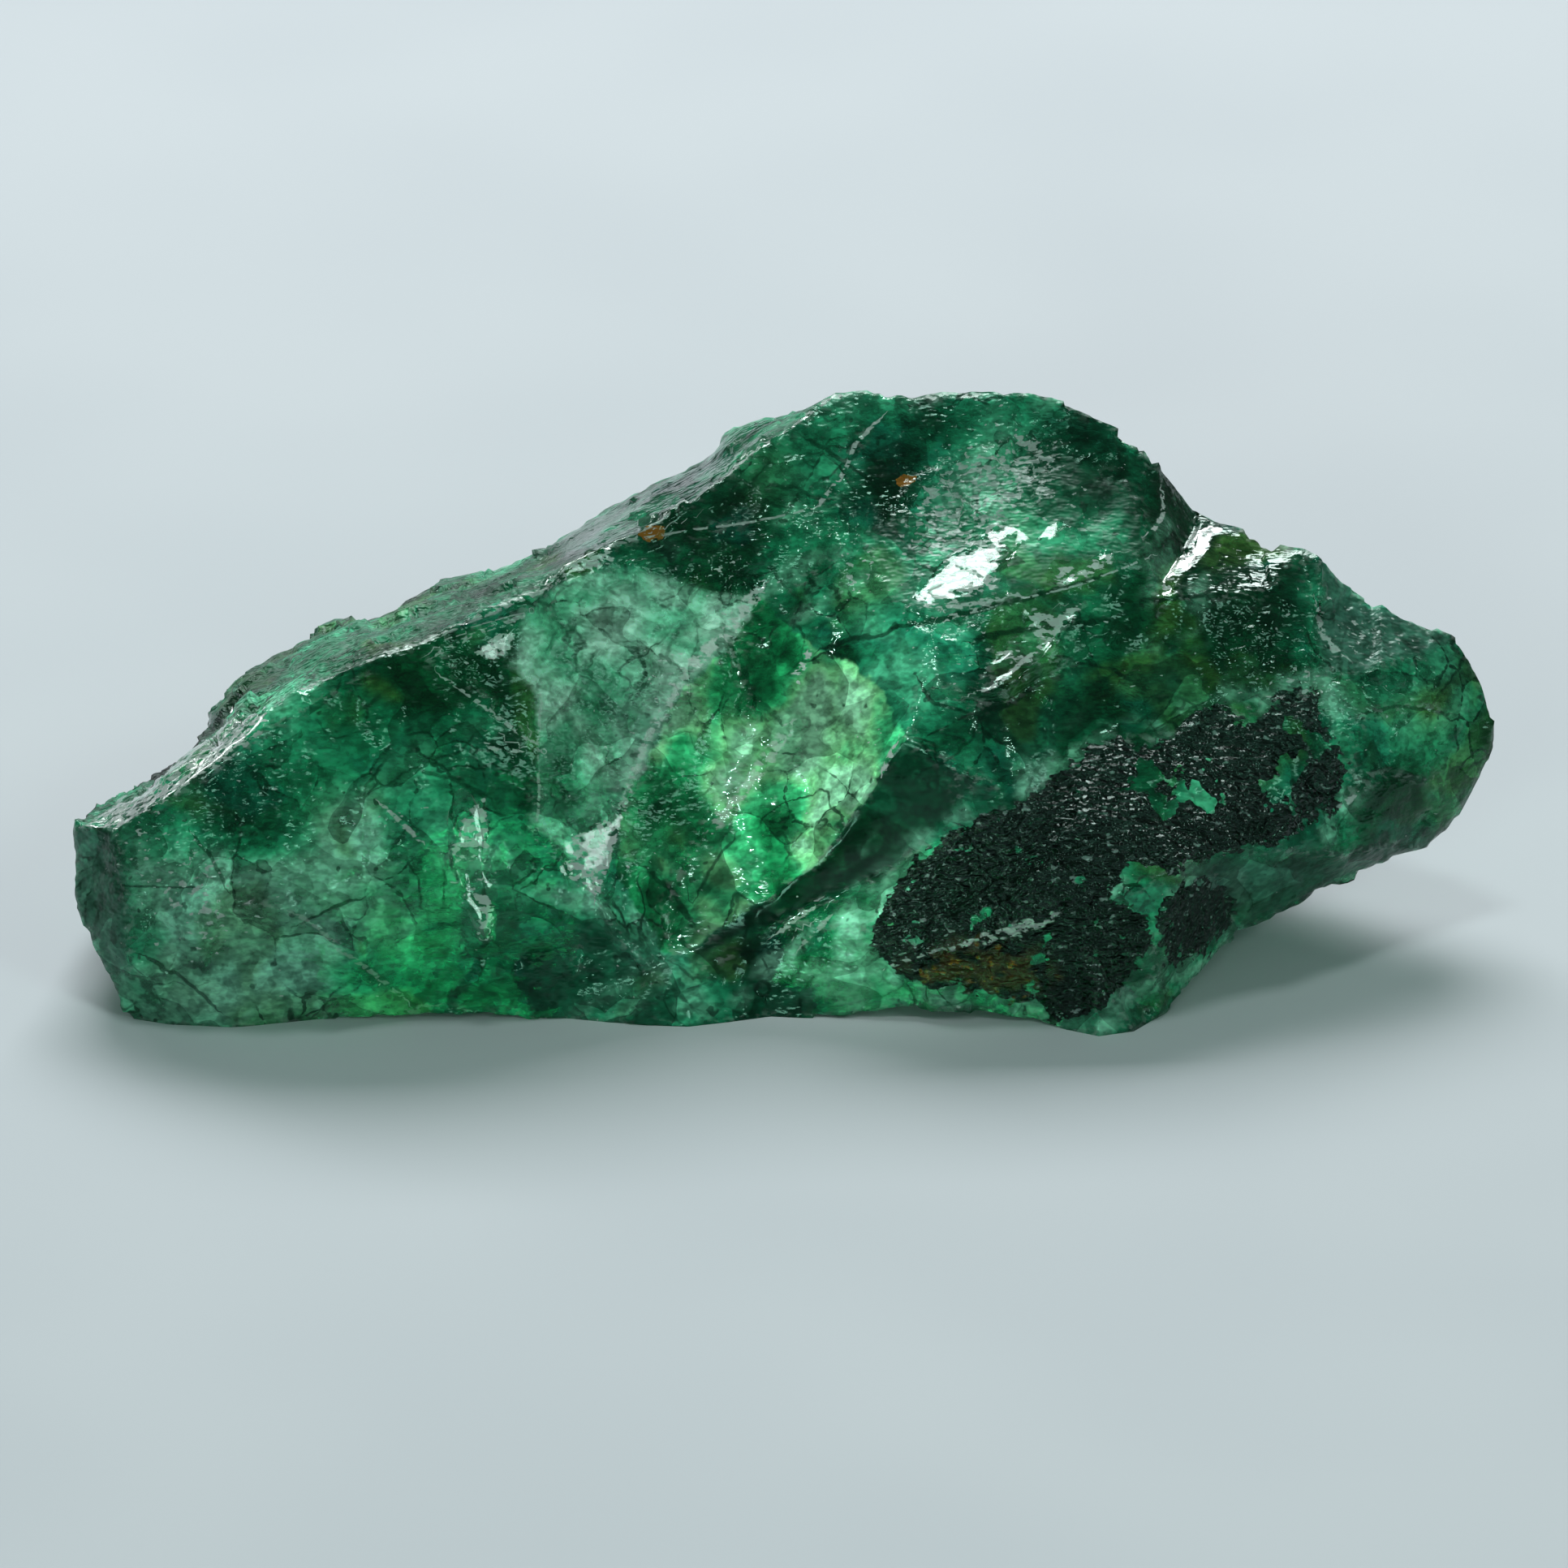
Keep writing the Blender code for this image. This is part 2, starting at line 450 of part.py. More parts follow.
def main():
    for old in list(bpy.data.objects):
        bpy.data.objects.remove(old, do_unlink=True)
    parts = bpy.data.collections.new(NAME)
    cutters = bpy.data.collections.new("cutters")
    for collection in (parts, cutters):
        bpy.context.scene.collection.children.link(collection)

    mesh = raw_stone()
    soften_folds(mesh)
    roughen(mesh)
    bmesh.ops.scale(mesh, vec=Vector((MM, MM, MM)), verts=mesh.verts)
    data = bpy.data.meshes.new(NAME)
    mesh.to_mesh(data)
    mesh.free()
    data.materials.append(emerald_material())
    stone = bpy.data.objects.new(NAME, data)
    parts.objects.link(stone)

    tools = [chip_cutter(name, *shape) for name, shape in CHIPS.items()] + [floor_cutter()]
    for tool in tools:
        cutters.objects.link(tool)
        cut(stone, tool)
    drawing = bpy.data.objects.new("drawing_origin", None)
    drawing.location = (-MIDDLE[0] * MM, -MIDDLE[1] * MM, 0.0)
    parts.objects.link(drawing)
    for piece in (stone, *tools):
        piece.parent = drawing


main()
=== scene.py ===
"""Raw emerald crystal on pale paper: the finish of the stone, its stage, lights and camera.

The stone's broken skin is worked out from the solid of the frame. Places on its near side are named on a
drawing board that leans back: (right, rise) in millimetres, right along the stone, rise up the board.
"""

import itertools
import math
from types import SimpleNamespace

import bpy
import numpy as np
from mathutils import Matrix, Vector


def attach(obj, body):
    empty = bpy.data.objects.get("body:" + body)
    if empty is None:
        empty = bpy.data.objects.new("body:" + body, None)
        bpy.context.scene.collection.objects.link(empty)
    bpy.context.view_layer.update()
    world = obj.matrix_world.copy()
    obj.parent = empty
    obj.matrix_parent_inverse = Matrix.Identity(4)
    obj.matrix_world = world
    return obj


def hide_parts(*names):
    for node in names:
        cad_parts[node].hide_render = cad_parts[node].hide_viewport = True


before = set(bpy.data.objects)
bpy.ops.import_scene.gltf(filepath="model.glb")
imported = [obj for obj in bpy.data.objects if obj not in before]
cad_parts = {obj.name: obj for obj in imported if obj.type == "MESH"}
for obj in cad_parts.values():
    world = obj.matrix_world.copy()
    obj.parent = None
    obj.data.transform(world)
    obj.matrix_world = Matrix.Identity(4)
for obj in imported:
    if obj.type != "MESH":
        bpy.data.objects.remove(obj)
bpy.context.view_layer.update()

# ---------------------------------------------------------------- driving values
MM = 0.001
NODE = "emerald_crystal"
BOARD_LEAN = math.radians(28.0)
BOARD_HEIGHT = 8.5 * MM  # from the floor to the middle of the board
BOARD_MIDDLE = np.array([-0.16, -0.45]) * MM  # the board's middle along X and Y
SPLITS = 5  # each triangle of the solid becomes this many rows of fine ones
RIDGE_ANGLE = math.radians(24.0)  # a sharper fold of the solid is a ridge
RIDGE_REACH = 0.35 * MM  # a side of the solid this close to a ridge line is part of the ridge
FACE_ROUNDS, RIDGE_ROUNDS = 40, 12  # how often faces and ridges are smoothed
FLOOR_TOUCH = 0.002 * MM  # points no higher than this rest on the floor

BERYL_IOR = 1.58
SEE_THROUGH = 0.55  # share of the light that enters the stone
COAT_ROUGHNESS = 0.06
GLOSS_TINT = (0.30, 0.55, 0.45)
DEPTH_TINT, DEPTH_DENSITY = (0.10, 0.80, 0.50), 90.0  # what the stone's depth takes out of the light
CRUMB_SPAN, SPECK_SPAN = 1.2 * MM, 0.36 * MM  # how far apart the hills of the two fine noises are
CELL_SPAN = 3.3 * MM
GRAIN_SPAN, GRAIN_RELIEF = 0.40 * MM, 0.25 * MM
SPARSE_GLINT_LEVEL = 0.750  # the noise level above which painted glints show as white grains where nothing sparkles
MOTTLE_SPAN = 30.0 * MM  # of the paper

LENS_DISTANCE, FRAME_WIDTH = 1.0, 96.6 * MM  # the frame is this wide at the board
SENSOR_WIDTH = 36.0  # millimetres, as cameras count it
SPOT_RADIUS = 8.0 * MM

# colours, as shares of red, green and blue light
DEEP_GREEN = (0.001, 0.038, 0.014)
SHADE_GREEN = (0.006, 0.150, 0.068)
EMERALD_GREEN = (0.026, 0.350, 0.170)
LIGHT_GREEN = (0.100, 0.580, 0.320)
MINT = (0.330, 0.850, 0.580)
OLIVE = (0.085, 0.230, 0.036)
TEAL = (0.008, 0.300, 0.240)
# greens of the hazy facet, pale with painted sheen
FACET_SHEEN_GREEN = (0.150, 0.620, 0.370)
FACET_SHEEN_PALE = (0.500, 0.860, 0.680)
# The window's colours: greens of the clearer beryl, made bright as painted glow of light passing through the
# stone.
WINDOW_DARK = (0.002, 0.110, 0.035)
WINDOW_GREEN = (0.020, 0.450, 0.150)
WINDOW_MIDDLE = (0.080, 0.800, 0.320)
WINDOW_LIGHT = (0.320, 1.000, 0.420)
WINDOW_PALE = (0.420, 1.000, 0.600)
WINDOW_OLIVE = (0.130, 0.420, 0.030)
# grey of painted sheen on the rough, grainy faces
SATIN_SHEEN_GREY = (0.055, 0.125, 0.105)
# white of crushed chips, used as well for painted glints and painted highlights
FROST_AND_GLINT_WHITE = (0.900, 1.000, 0.960)
CRACK_GREEN = (0.000, 0.018, 0.008)
SCHIST_BLACK = (0.003, 0.004, 0.004)
SCHIST_GREY = (0.015, 0.018, 0.019)
# pale specks of painted glint on the schist
SCHIST_GLINT = (0.340, 0.440, 0.420)
SCHIST_BROWN = (0.090, 0.040, 0.014)
RUST = (0.450, 0.170, 0.020)
PAPER_DARK = (0.480, 0.525, 0.550)
PAPER_PALE = (0.500, 0.545, 0.568)
ROOM_LIGHT = (0.74, 1.00, 0.92)

# Fields that the mesh keeps with its points, three to an attribute. Depths are in millimetres.
KEPT_TOGETHER = {
    "borders": ("schist_depth", "window_depth", "back_slope"),
    "wear": ("edge", "matt", "brown"),
    "patches": ("glossy_depth", "frost_depth", "crown_or_groove"),
    "glints": ("glint_line", "glint_strength", "sparkle"),
    "dark_lines": ("dark_line", "dark_strength", "inclusion"),
    "cracks": ("meander", "planes", "cracked"),
}

# ---------------------------------------------------------------- places on the near side, in millimetres
RIDGE_LINES = {
    "main_ridge": [
        (-42.7, -2.5), (-39.3, -0.9), (-36.3, 1.8), (-33.3, 3.8), (-30.8, 5.3), (-28.3, 6.5), (-25.8, 7.4),
        (-23.3, 8.3), (-20.8, 9.1), (-18.3, 10.3), (-16.3, 11.1), (-14.8, 11.7), (-13.3, 13.2), (-10.6, 14.7),
        (-7.5, 16.1), (-5.8, 17.4), (-3.3, 19.3), (-0.8, 21.3), (1.2, 22.5), (3.2, 23.9),
    ],
    "chamfer": [
        (-42.7, -2.5), (-40.8, -2.3), (-38.3, -1.3), (-35.8, 0.1), (-33.3, 1.9), (-31.1, 3.4), (-28.3, 5.2),
        (-25.3, 6.7), (-20.9, 7.7),
    ],
    "left_end_edge": [(-40.8, -2.3), (-40.3, -4.7), (-40.0, -7.7), (-39.8, -11.2)],
    "step_line": [(-20.9, 7.7), (-18.3, 5.3), (-14.9, 2.5)],
    "crease": [(-16.3, 7.3), (-14.9, 5.3), (-14.9, 2.5), (-15.3, -2.2), (-13.3, -4.2), (-11.6, -6.8)],
    "glossy_triangle": [(-20.9, 7.7), (-20.8, 9.1), (-15.8, 10.8), (-16.3, 7.3)],
    "sliver_under_ridge": [(-14.8, 11.7), (-13.8, 12.1), (-11.3, 13.6), (-10.6, 14.7)],
    "brow": [
        (-10.6, 14.7), (-8.3, 15.1), (-5.8, 15.6), (-3.3, 15.9), (-0.8, 16.3), (1.7, 16.9), (2.5, 17.4),
        (3.7, 19.3), (4.2, 20.6), (4.7, 21.6), (5.5, 22.6),
    ],
    "hazy_edge": [
        (-1.6, 11.3), (-3.3, 8.6), (-5.6, 6.3), (-6.8, 4.8), (-8.3, 1.3), (-10.1, -2.0), (-11.6, -6.8),
    ],
    "window_ridge": [(7.2, 2.8), (4.7, -1.0), (2.2, -4.7), (-4.3, -9.2), (-6.8, -10.7)],
    "groove": [(7.2, 2.8), (11.7, 0.3), (8.7, -3.7), (5.7, -5.7), (-0.3, -8.2), (-5.3, -11.5)],
    "highlight_edge": [
        (6.7, 11.5), (7.9, 10.8), (9.2, 10.7), (11.7, 11.0), (14.2, 11.5), (16.7, 12.0), (19.2, 13.0),
        (22.2, 14.3),
    ],
    "crown_foot": [
        (4.7, 15.3), (7.2, 16.3), (9.2, 17.7), (11.7, 19.3), (14.7, 20.7), (17.2, 20.3), (19.7, 19.0),
        (21.7, 17.7),
    ],
    "second_highlight": [(18.4, 11.1), (13.0, 8.3), (11.7, 5.5), (13.4, 5.8), (15.9, 7.5), (18.4, 11.1)],
    "schist_edge": [
        (4.9, -9.0), (6.2, -7.2), (9.2, -4.0), (11.9, -2.5), (14.8, -1.0), (16.7, 0.8), (19.2, 2.5),
        (23.2, 2.7), (25.7, 3.8), (29.7, 4.8), (32.7, 5.8),
    ],
    "keel": [
        (4.9, -9.0), (6.7, -9.9), (11.7, -9.7), (15.7, -7.7), (21.7, -6.2), (25.7, -4.2), (29.7, -4.0),
        (33.7, -4.4), (36.7, -4.0), (40.7, -2.8),
    ],
    "notch": [(26.5, 15.8), (25.1, 13.7), (23.4, 11.5), (22.8, 11.4), (24.2, 13.8), (25.6, 16.6)],
    "grainy_face": [(33.0, 13.8), (32.9, 9.8), (33.2, 6.8), (35.2, 7.0), (38.7, 7.8), (41.0, 8.9)],
    "right_lobe": [
        (43.8, 3.7), (40.7, 4.4), (37.7, 4.9), (35.7, 4.3), (34.9, 3.1), (34.7, -1.2), (36.7, 0.3),
        (40.2, 0.3),
    ],
}
SCHIST = {
    "face": [
        *RIDGE_LINES["schist_edge"][:3], (12.0, -2.7), (13.0, -1.7), *RIDGE_LINES["schist_edge"][4:],
        (33.4, 3.3), (34.2, 1.3), (33.2, -1.7), (30.2, -3.9), (26.7, -4.2), (21.7, -5.2), (19.2, -6.7),
        (16.4, -9.2), (14.2, -13.0), (7.2, -12.2),
    ],
    "lobe": [
        (16.2, -8.2), (18.7, -7.0), (21.7, -6.7), (22.2, -9.2), (21.2, -11.7), (19.2, -14.2), (16.7, -14.0),
        (15.2, -11.7),
    ],
    "corner": [(22.7, -7.2), (24.7, -6.0), (27.7, -5.7), (28.0, -7.7), (25.7, -10.2), (23.7, -11.2)],
}
WINDOW = [
    *RIDGE_LINES["hazy_edge"][:6], (-10.3, -5.5), (-6.8, -10.7), (-4.3, -9.2), (2.2, -4.7), (7.2, 2.8),
    (5.7, 6.3), (1.7, 8.6),
]
# The recessed groove, darkened with painted shade.
GROOVE = [
    (7.2, 2.8), (8.7, 1.8), (11.7, 0.3), (8.7, -3.7), (5.7, -5.7), (-0.3, -8.2), (-5.8, -10.7), (-4.3, -9.2),
    (2.2, -4.7),
]
# The hazy facet, whose pale blots are painted sheen.
SHEENED_FACET = [
    (-13.8, 12.1), (-10.3, 13.3), (-6.8, 12.5), (-4.3, 11.5), *RIDGE_LINES["hazy_edge"],
    *RIDGE_LINES["crease"][-2::-1], (-15.8, 10.8),
]
# Rough, grainy faces, greyed with painted sheen.
SATIN_SHEEN = {
    "left_end": [
        (-43.8, -2.5), *RIDGE_LINES["left_end_edge"], (-41.3, -12.0), (-43.7, -6.6),
    ],
    "grainy_face": [
        *RIDGE_LINES["grainy_face"][:5], (41.5, 8.9), (39.5, 9.9), (36.0, 11.4), (33.7, 13.2),
    ],
    "under_strip": [
        (25.0, -5.0), (29.7, -4.2), (33.7, -4.6), (36.7, -4.0), (40.7, -2.8), (39.7, -4.6), (34.7, -7.7),
        (27.7, -9.7), (24.7, -8.0),
    ],
}
CROWN_SLOPE = [*RIDGE_LINES["crown_foot"], *RIDGE_LINES["highlight_edge"][::-1]]
# Smooth chips that shine as one.
GLOSSY = {
    "sliver": [
        (-14.7, 11.9), (-13.3, 13.3), (-11.0, 14.5), (-10.6, 14.8), (-10.4, 13.7), (-11.5, 13.1),
        (-13.3, 12.5),
    ],
    "glossy_triangle": [(-19.0, 8.1), (-16.5, 9.8), (-16.2, 9.9), (-16.5, 8.3), (-17.8, 7.5)],
    "cloudy_foot": [(-9.9, -1.8), (-10.6, -4.7), (-11.4, -7.0), (-13.5, -5.6), (-13.6, -3.7), (-12.2, -2.5)],
    "chamfer": [
        (-42.9, -2.7), (-39.3, -0.7), (-36.3, 2.0), (-33.3, 4.0), (-31.8, 4.8), (-31.4, 3.4), (-33.3, 1.7),
        (-35.8, -0.1), (-38.3, -1.5), (-40.8, -2.5),
    ],
    "notch_strip": [
        (26.9, 15.9), (25.9, 16.0), (24.2, 13.9), (22.8, 11.9), (22.6, 11.2), (24.4, 12.8), (25.9, 14.2),
    ],
    "left_chip": [(-18.1, -0.7), (-19.7, -2.1), (-20.4, -3.8), (-20.2, -5.3), (-17.8, -4.0), (-18.0, -2.5)],
    "left_chip_foot": [
        (-20.2, -5.0), (-18.5, -4.2), (-17.5, -6.8), (-17.9, -9.6), (-18.7, -9.5), (-19.4, -7.0),
    ],
    "main_patch": [
        (7.5, 11.3), (9.2, 13.3), (11.2, 14.3), (12.5, 15.6), (13.7, 16.1), (14.8, 15.1), (14.5, 14.3),
        (13.5, 13.3), (13.6, 12.1), (14.2, 11.6), (11.7, 11.1), (9.2, 10.8),
    ],
    "middle_patch": [(15.7, 14.8), (16.7, 16.3), (17.7, 15.8), (18.7, 15.1), (18.2, 14.3), (17.2, 14.8)],
    "right_patch": [
        (16.0, 12.3), (16.2, 13.6), (18.2, 13.8), (19.7, 14.3), (21.0, 13.8), (18.7, 12.8), (16.7, 12.2),
    ],
    "second_patch": [
        (14.7, 10.8), (16.7, 10.7), (18.5, 11.1), (17.2, 9.6), (16.7, 8.8), (15.7, 7.8), (13.7, 6.6),
        (12.2, 5.7), (12.7, 7.4), (14.0, 8.5), (14.5, 9.1),
    ],
}
# Crushed chips that look white: partly their own pale crushing and partly painted highlight; main_patch,
# right_patch, second_patch, second_spur and crown_fleck are painted highlights on the crown.
FROST_AND_HIGHLIGHT_PATCHES = {
    "main_patch": [
        (8.2, 11.3), (9.4, 12.9), (11.2, 14.0), (12.8, 15.6), (13.5, 15.4), (13.0, 13.3), (13.0, 11.6),
        (10.5, 11.1),
    ],
    "right_patch": [
        (16.4, 12.4), (16.8, 13.2), (18.2, 13.3), (19.9, 14.1), (20.4, 13.8), (18.7, 12.9), (17.0, 12.3),
    ],
    "second_patch": [(15.0, 10.6), (16.7, 10.4), (18.4, 11.0), (17.0, 9.6), (16.4, 8.9), (15.2, 9.1)],
    "second_spur": [(13.0, 8.3), (14.2, 8.1), (15.0, 7.6), (13.8, 7.4)],
    "notch_strip": [
        (26.6, 15.7), (25.9, 15.8), (24.4, 13.8), (23.0, 11.8), (22.8, 11.4), (24.2, 13.0), (25.7, 14.3),
    ],
    "left_chip": [(-18.3, -0.9), (-19.5, -2.2), (-20.2, -3.8), (-20.1, -5.0), (-18.0, -3.9), (-18.2, -2.5)],
    "left_chip_foot": [(-18.8, -6.6), (-17.7, -6.8), (-18.0, -9.4), (-18.5, -9.5)],
    "sliver": [
        (-14.5, 11.9), (-13.3, 13.1), (-11.0, 14.3), (-10.7, 14.7), (-10.5, 13.8), (-11.5, 13.3),
        (-13.3, 12.7),
    ],
    "chamfer": [*RIDGE_LINES["main_ridge"][:4], (-31.8, 4.6), (-31.4, 3.6), *RIDGE_LINES["chamfer"][4:0:-1]],
    "glossy_triangle": [(-18.8, 8.1), (-16.5, 9.6), (-16.4, 9.9), (-16.6, 8.5), (-17.8, 7.7)],
    "cloudy_foot": [(-10.1, -2.0), (-10.8, -4.7), (-11.5, -6.7), (-13.2, -5.5), (-13.2, -3.7), (-12.0, -2.7)],
    "crown_fleck": [(15.5, 18.3), (15.9, 18.8), (16.4, 17.8), (15.7, 17.4)],
    "window_top": [(1.8, 8.2), (1.5, 8.2), (0.6, 6.6), (0.9, 6.2)],
}
PALE_CHIPS = [
    (-0.8, -9.0), (5.7, -6.0), (6.2, -8.0), (5.0, -10.0), (6.7, -12.0), (5.0, -14.0), (0.0, -14.0),
    (-3.0, -13.0),
]
BROWN_STAIN = [(7.7, -9.9), (15.7, -9.9), (16.2, -11.2), (14.2, -13.0), (9.2, -12.6), (7.2, -11.2)]
# Broad places that are paler or darker than the rest: right, rise, reach, and how much.
TONES = {
    "left_lobe": (-32.0, -10.0, 7.0, 0.78),
    "left_lobe_heart": (-33.0, -9.5, 2.5, 0.25),
    "left_patch": (-28.5, -5.0, 3.5, 0.22),
    "left_pale": (-32.0, -6.5, 1.6, 0.30),
    "left_face_top": (-28.0, 2.0, 6.0, -0.15),
    # Painted shade: strip_right darkens the right end of the strip behind the main ridge.
    "strip_right": (-6.5, 18.5, 5.0, -0.50),
    "strip_end": (-13.0, 15.5, 3.0, -0.20),
    "under_glossy_triangle": (-17.0, 7.5, 2.2, -0.35),
    "beside_chips": (-21.5, -3.5, 2.0, -0.10),
    "left_of_chips": (-22.5, -11.5, 3.5, -0.25),
    "right_of_chips": (-16.0, -8.0, 2.6, -0.25),
    "foot_of_facet": (-14.0, -9.5, 3.5, -0.15),
    "right_of_window": (9.5, 6.5, 3.0, 0.22),
    "above_window": (3.5, 9.5, 3.0, 0.08),
    "pit": (3.6, 7.6, 0.9, -1.2),
    "window_shade": (5.7, 4.5, 1.4, -0.30),
    "middle_right": (13.5, 3.0, 3.0, 0.05),
    "under_highlight": (11.0, 7.5, 4.0, -0.20),
    "right_of_highlight": (25.0, 9.0, 6.0, -0.28),
    "middle_right_low": (14.5, 0.5, 2.0, 0.12),
    "dark_shoulder": (28.0, 10.0, 6.0, -0.80),
    "dark_shoulder_low": (22.5, 6.5, 3.0, -0.15),
    "under_notch": (24.5, 12.5, 2.5, -0.35),
    "above_schist": (25.0, 5.5, 2.2, 0.22),
    # Painted shade: crown_top, crown_left and crown_right darken the upward faces of the crown.
    "crown_top": (8.0, 21.0, 7.0, -0.20),
    "crown_left": (0.0, 17.5, 4.5, -0.35),
    "crown_right": (20.0, 16.0, 5.0, -0.15),
    "crown_left_dark": (-3.5, 16.8, 2.5, -0.15),
    "facet_dark": (-5.0, 12.3, 2.2, -0.40),
    "bottom_edge": (-9.0, -13.6, 3.5, 0.20),
    # Painted shade: groove_low and groove_middle darken the groove.
    "groove_low": (-3.5, -9.6, 2.2, -0.45),
    "groove_middle": (1.5, -6.8, 2.2, -0.45),
    # Painted highlight: upper_band lightens the grainy band above the crown's highlight.
    "upper_band": (12.0, 18.0, 3.0, 0.62),
    "right_lobe": (38.5, -1.5, 5.0, -0.28),
    "lower_lobe": (21.0, -13.5, 3.0, 0.10),
}
# Brighter and darker places in the window's painted glow: right, rise, reach, and how much.
WINDOW_TONES = {
    "yellow_heart": (-2.4, 2.3, 1.3, 0.55),
    "yellow_foot": (-3.3, 0.1, 1.2, 0.45),
    "upper_left": (-5.2, 3.4, 1.9, 0.30),
    "mint_heart": (2.7, 1.8, 2.8, 0.40),
    "mint_top": (3.9, 4.6, 1.8, 0.20),
    "foot_crumb": (1.0, -3.8, 1.0, 0.50),
    "foot_crumb_up": (2.1, -2.2, 0.8, 0.50),
    "left_crumb": (-7.6, 1.8, 0.8, 0.20),
    "low_spark": (-7.2, -5.3, 0.8, 0.35),
    "vein": (-1.2, 5.6, 1.5, -0.65),
    "vein_top": (-1.5, 9.3, 2.2, -0.75),
    "vein_right": (0.6, 7.6, 1.4, -0.30),
    "dark_crumb": (-6.4, 2.7, 0.6, -0.50),
    "left_hollow": (-6.8, -1.0, 1.6, -0.55),
    "low_hollow": (-0.8, -2.2, 1.1, -0.30),
    "low_left": (-9.2, -8.0, 2.6, -0.40),
    "low_middle": (-4.5, -7.5, 2.6, -0.12),
}
OLIVE_SPOTS = {
    "window": (-6.7, -4.2, 1.2, 1.0),
    "left_of_chips": (-24.5, -8.2, 2.0, 0.9),
    "left_foot": (-36.5, -11.5, 2.2, 0.7),
    "left_middle": (-28.0, -2.0, 1.8, 0.5),
    "crown": (14.0, 15.7, 1.5, 0.5),
    "right_lobe": (40.5, -2.5, 3.5, 0.8),
    "right_seam": (40.0, 4.5, 1.8, 0.8),
    "middle_right": (14.8, 1.2, 1.5, 0.6),
    "crown_left": (-1.0, 19.2, 2.0, 0.4),
}
# Where the strip behind the main ridge is less grainy.
SMOOTH_STRIP = {
    "end": (-3.5, 20.5, 3.5, 1.2),
    "middle": (-8.0, 17.5, 4.5, 1.2),
    "start": (-12.5, 15.3, 2.5, 0.9),
}
RUST_FLECKS = {
    "crown": (7.65, 18.80, 0.45, 2.5),
    "crown_low": (7.15, 18.50, 0.35, 2.5),
    "brow": (-8.40, 15.30, 0.60, 2.2),
    "brow_right": (-7.60, 15.45, 0.45, 2.2),
}
# Where the skin is chipped into small pebbles that catch the light, and where painted glints are strewn as
# white grains.
SPARKLES = {
    "left_end": (-39.0, -4.0, 2.8, 1.0),
    "left_end_low": (-36.5, -8.0, 3.0, 0.8),
    "left_middle": (-34.0, -7.5, 2.5, 0.7),
    "left_row": (-35.0, -5.0, 2.0, 0.7),
    "beside_chip": (-24.5, -2.5, 1.6, 0.9),
    "chip_foot": (-18.8, -6.0, 1.6, 1.0),
    "ridge_left": (-33.0, 1.5, 3.0, 0.6),
    "ridge_middle": (-19.5, 7.5, 2.0, 0.6),
    "facet_top": (-3.5, 12.5, 3.0, 0.9),
    "facet_edge": (-7.0, 6.5, 2.2, 0.9),
    "facet_middle": (-11.0, 2.0, 3.0, 0.7),
    "facet_foot": (-12.0, -3.5, 2.5, 0.9),
    "beside_window": (5.5, 3.0, 1.6, 0.7),
    "above_window": (4.5, 13.0, 2.5, 0.9),
    "crown": (10.0, 16.0, 4.0, 0.9),
    "crown_right": (19.0, 16.0, 3.0, 0.7),
    # Many painted glints in the grainy band above the crown's highlight.
    "upper_band": (10.0, 16.3, 2.4, 1.9),
    "upper_band_middle": (12.5, 18.2, 2.6, 2.0),
    "upper_band_end": (15.2, 20.0, 2.0, 1.9),
    "under_crown": (11.0, 8.5, 3.0, 0.6),
    "shoulder": (29.0, 8.0, 4.0, 0.8),
    "shoulder_low": (32.0, 5.8, 1.6, 1.0),
    "grainy_face": (36.0, 9.5, 3.0, 1.0),
    "schist_foot": (13.5, -8.5, 2.0, 1.0),
}
# Islands of beryl in the schist.
INCLUSIONS = {
    "upper": (22.0, 0.4, 0.8, 1.0),
    "middle": (23.0, -1.1, 1.2, 1.0),
    "right": (25.5, -1.0, 1.0, 0.9),
    "band_foot": (30.0, -0.8, 0.9, 1.0),
    "band": (31.2, 0.8, 0.9, 1.0),
    "band_top": (32.4, 2.3, 0.9, 1.0),
    "corner": (31.0, 3.8, 0.9, 0.9),
    "left": (11.8, -8.2, 0.7, 1.0),
    "far_left": (7.8, -9.6, 0.6, 1.0),
    "edge": (21.0, 2.7, 0.8, 1.0),
}
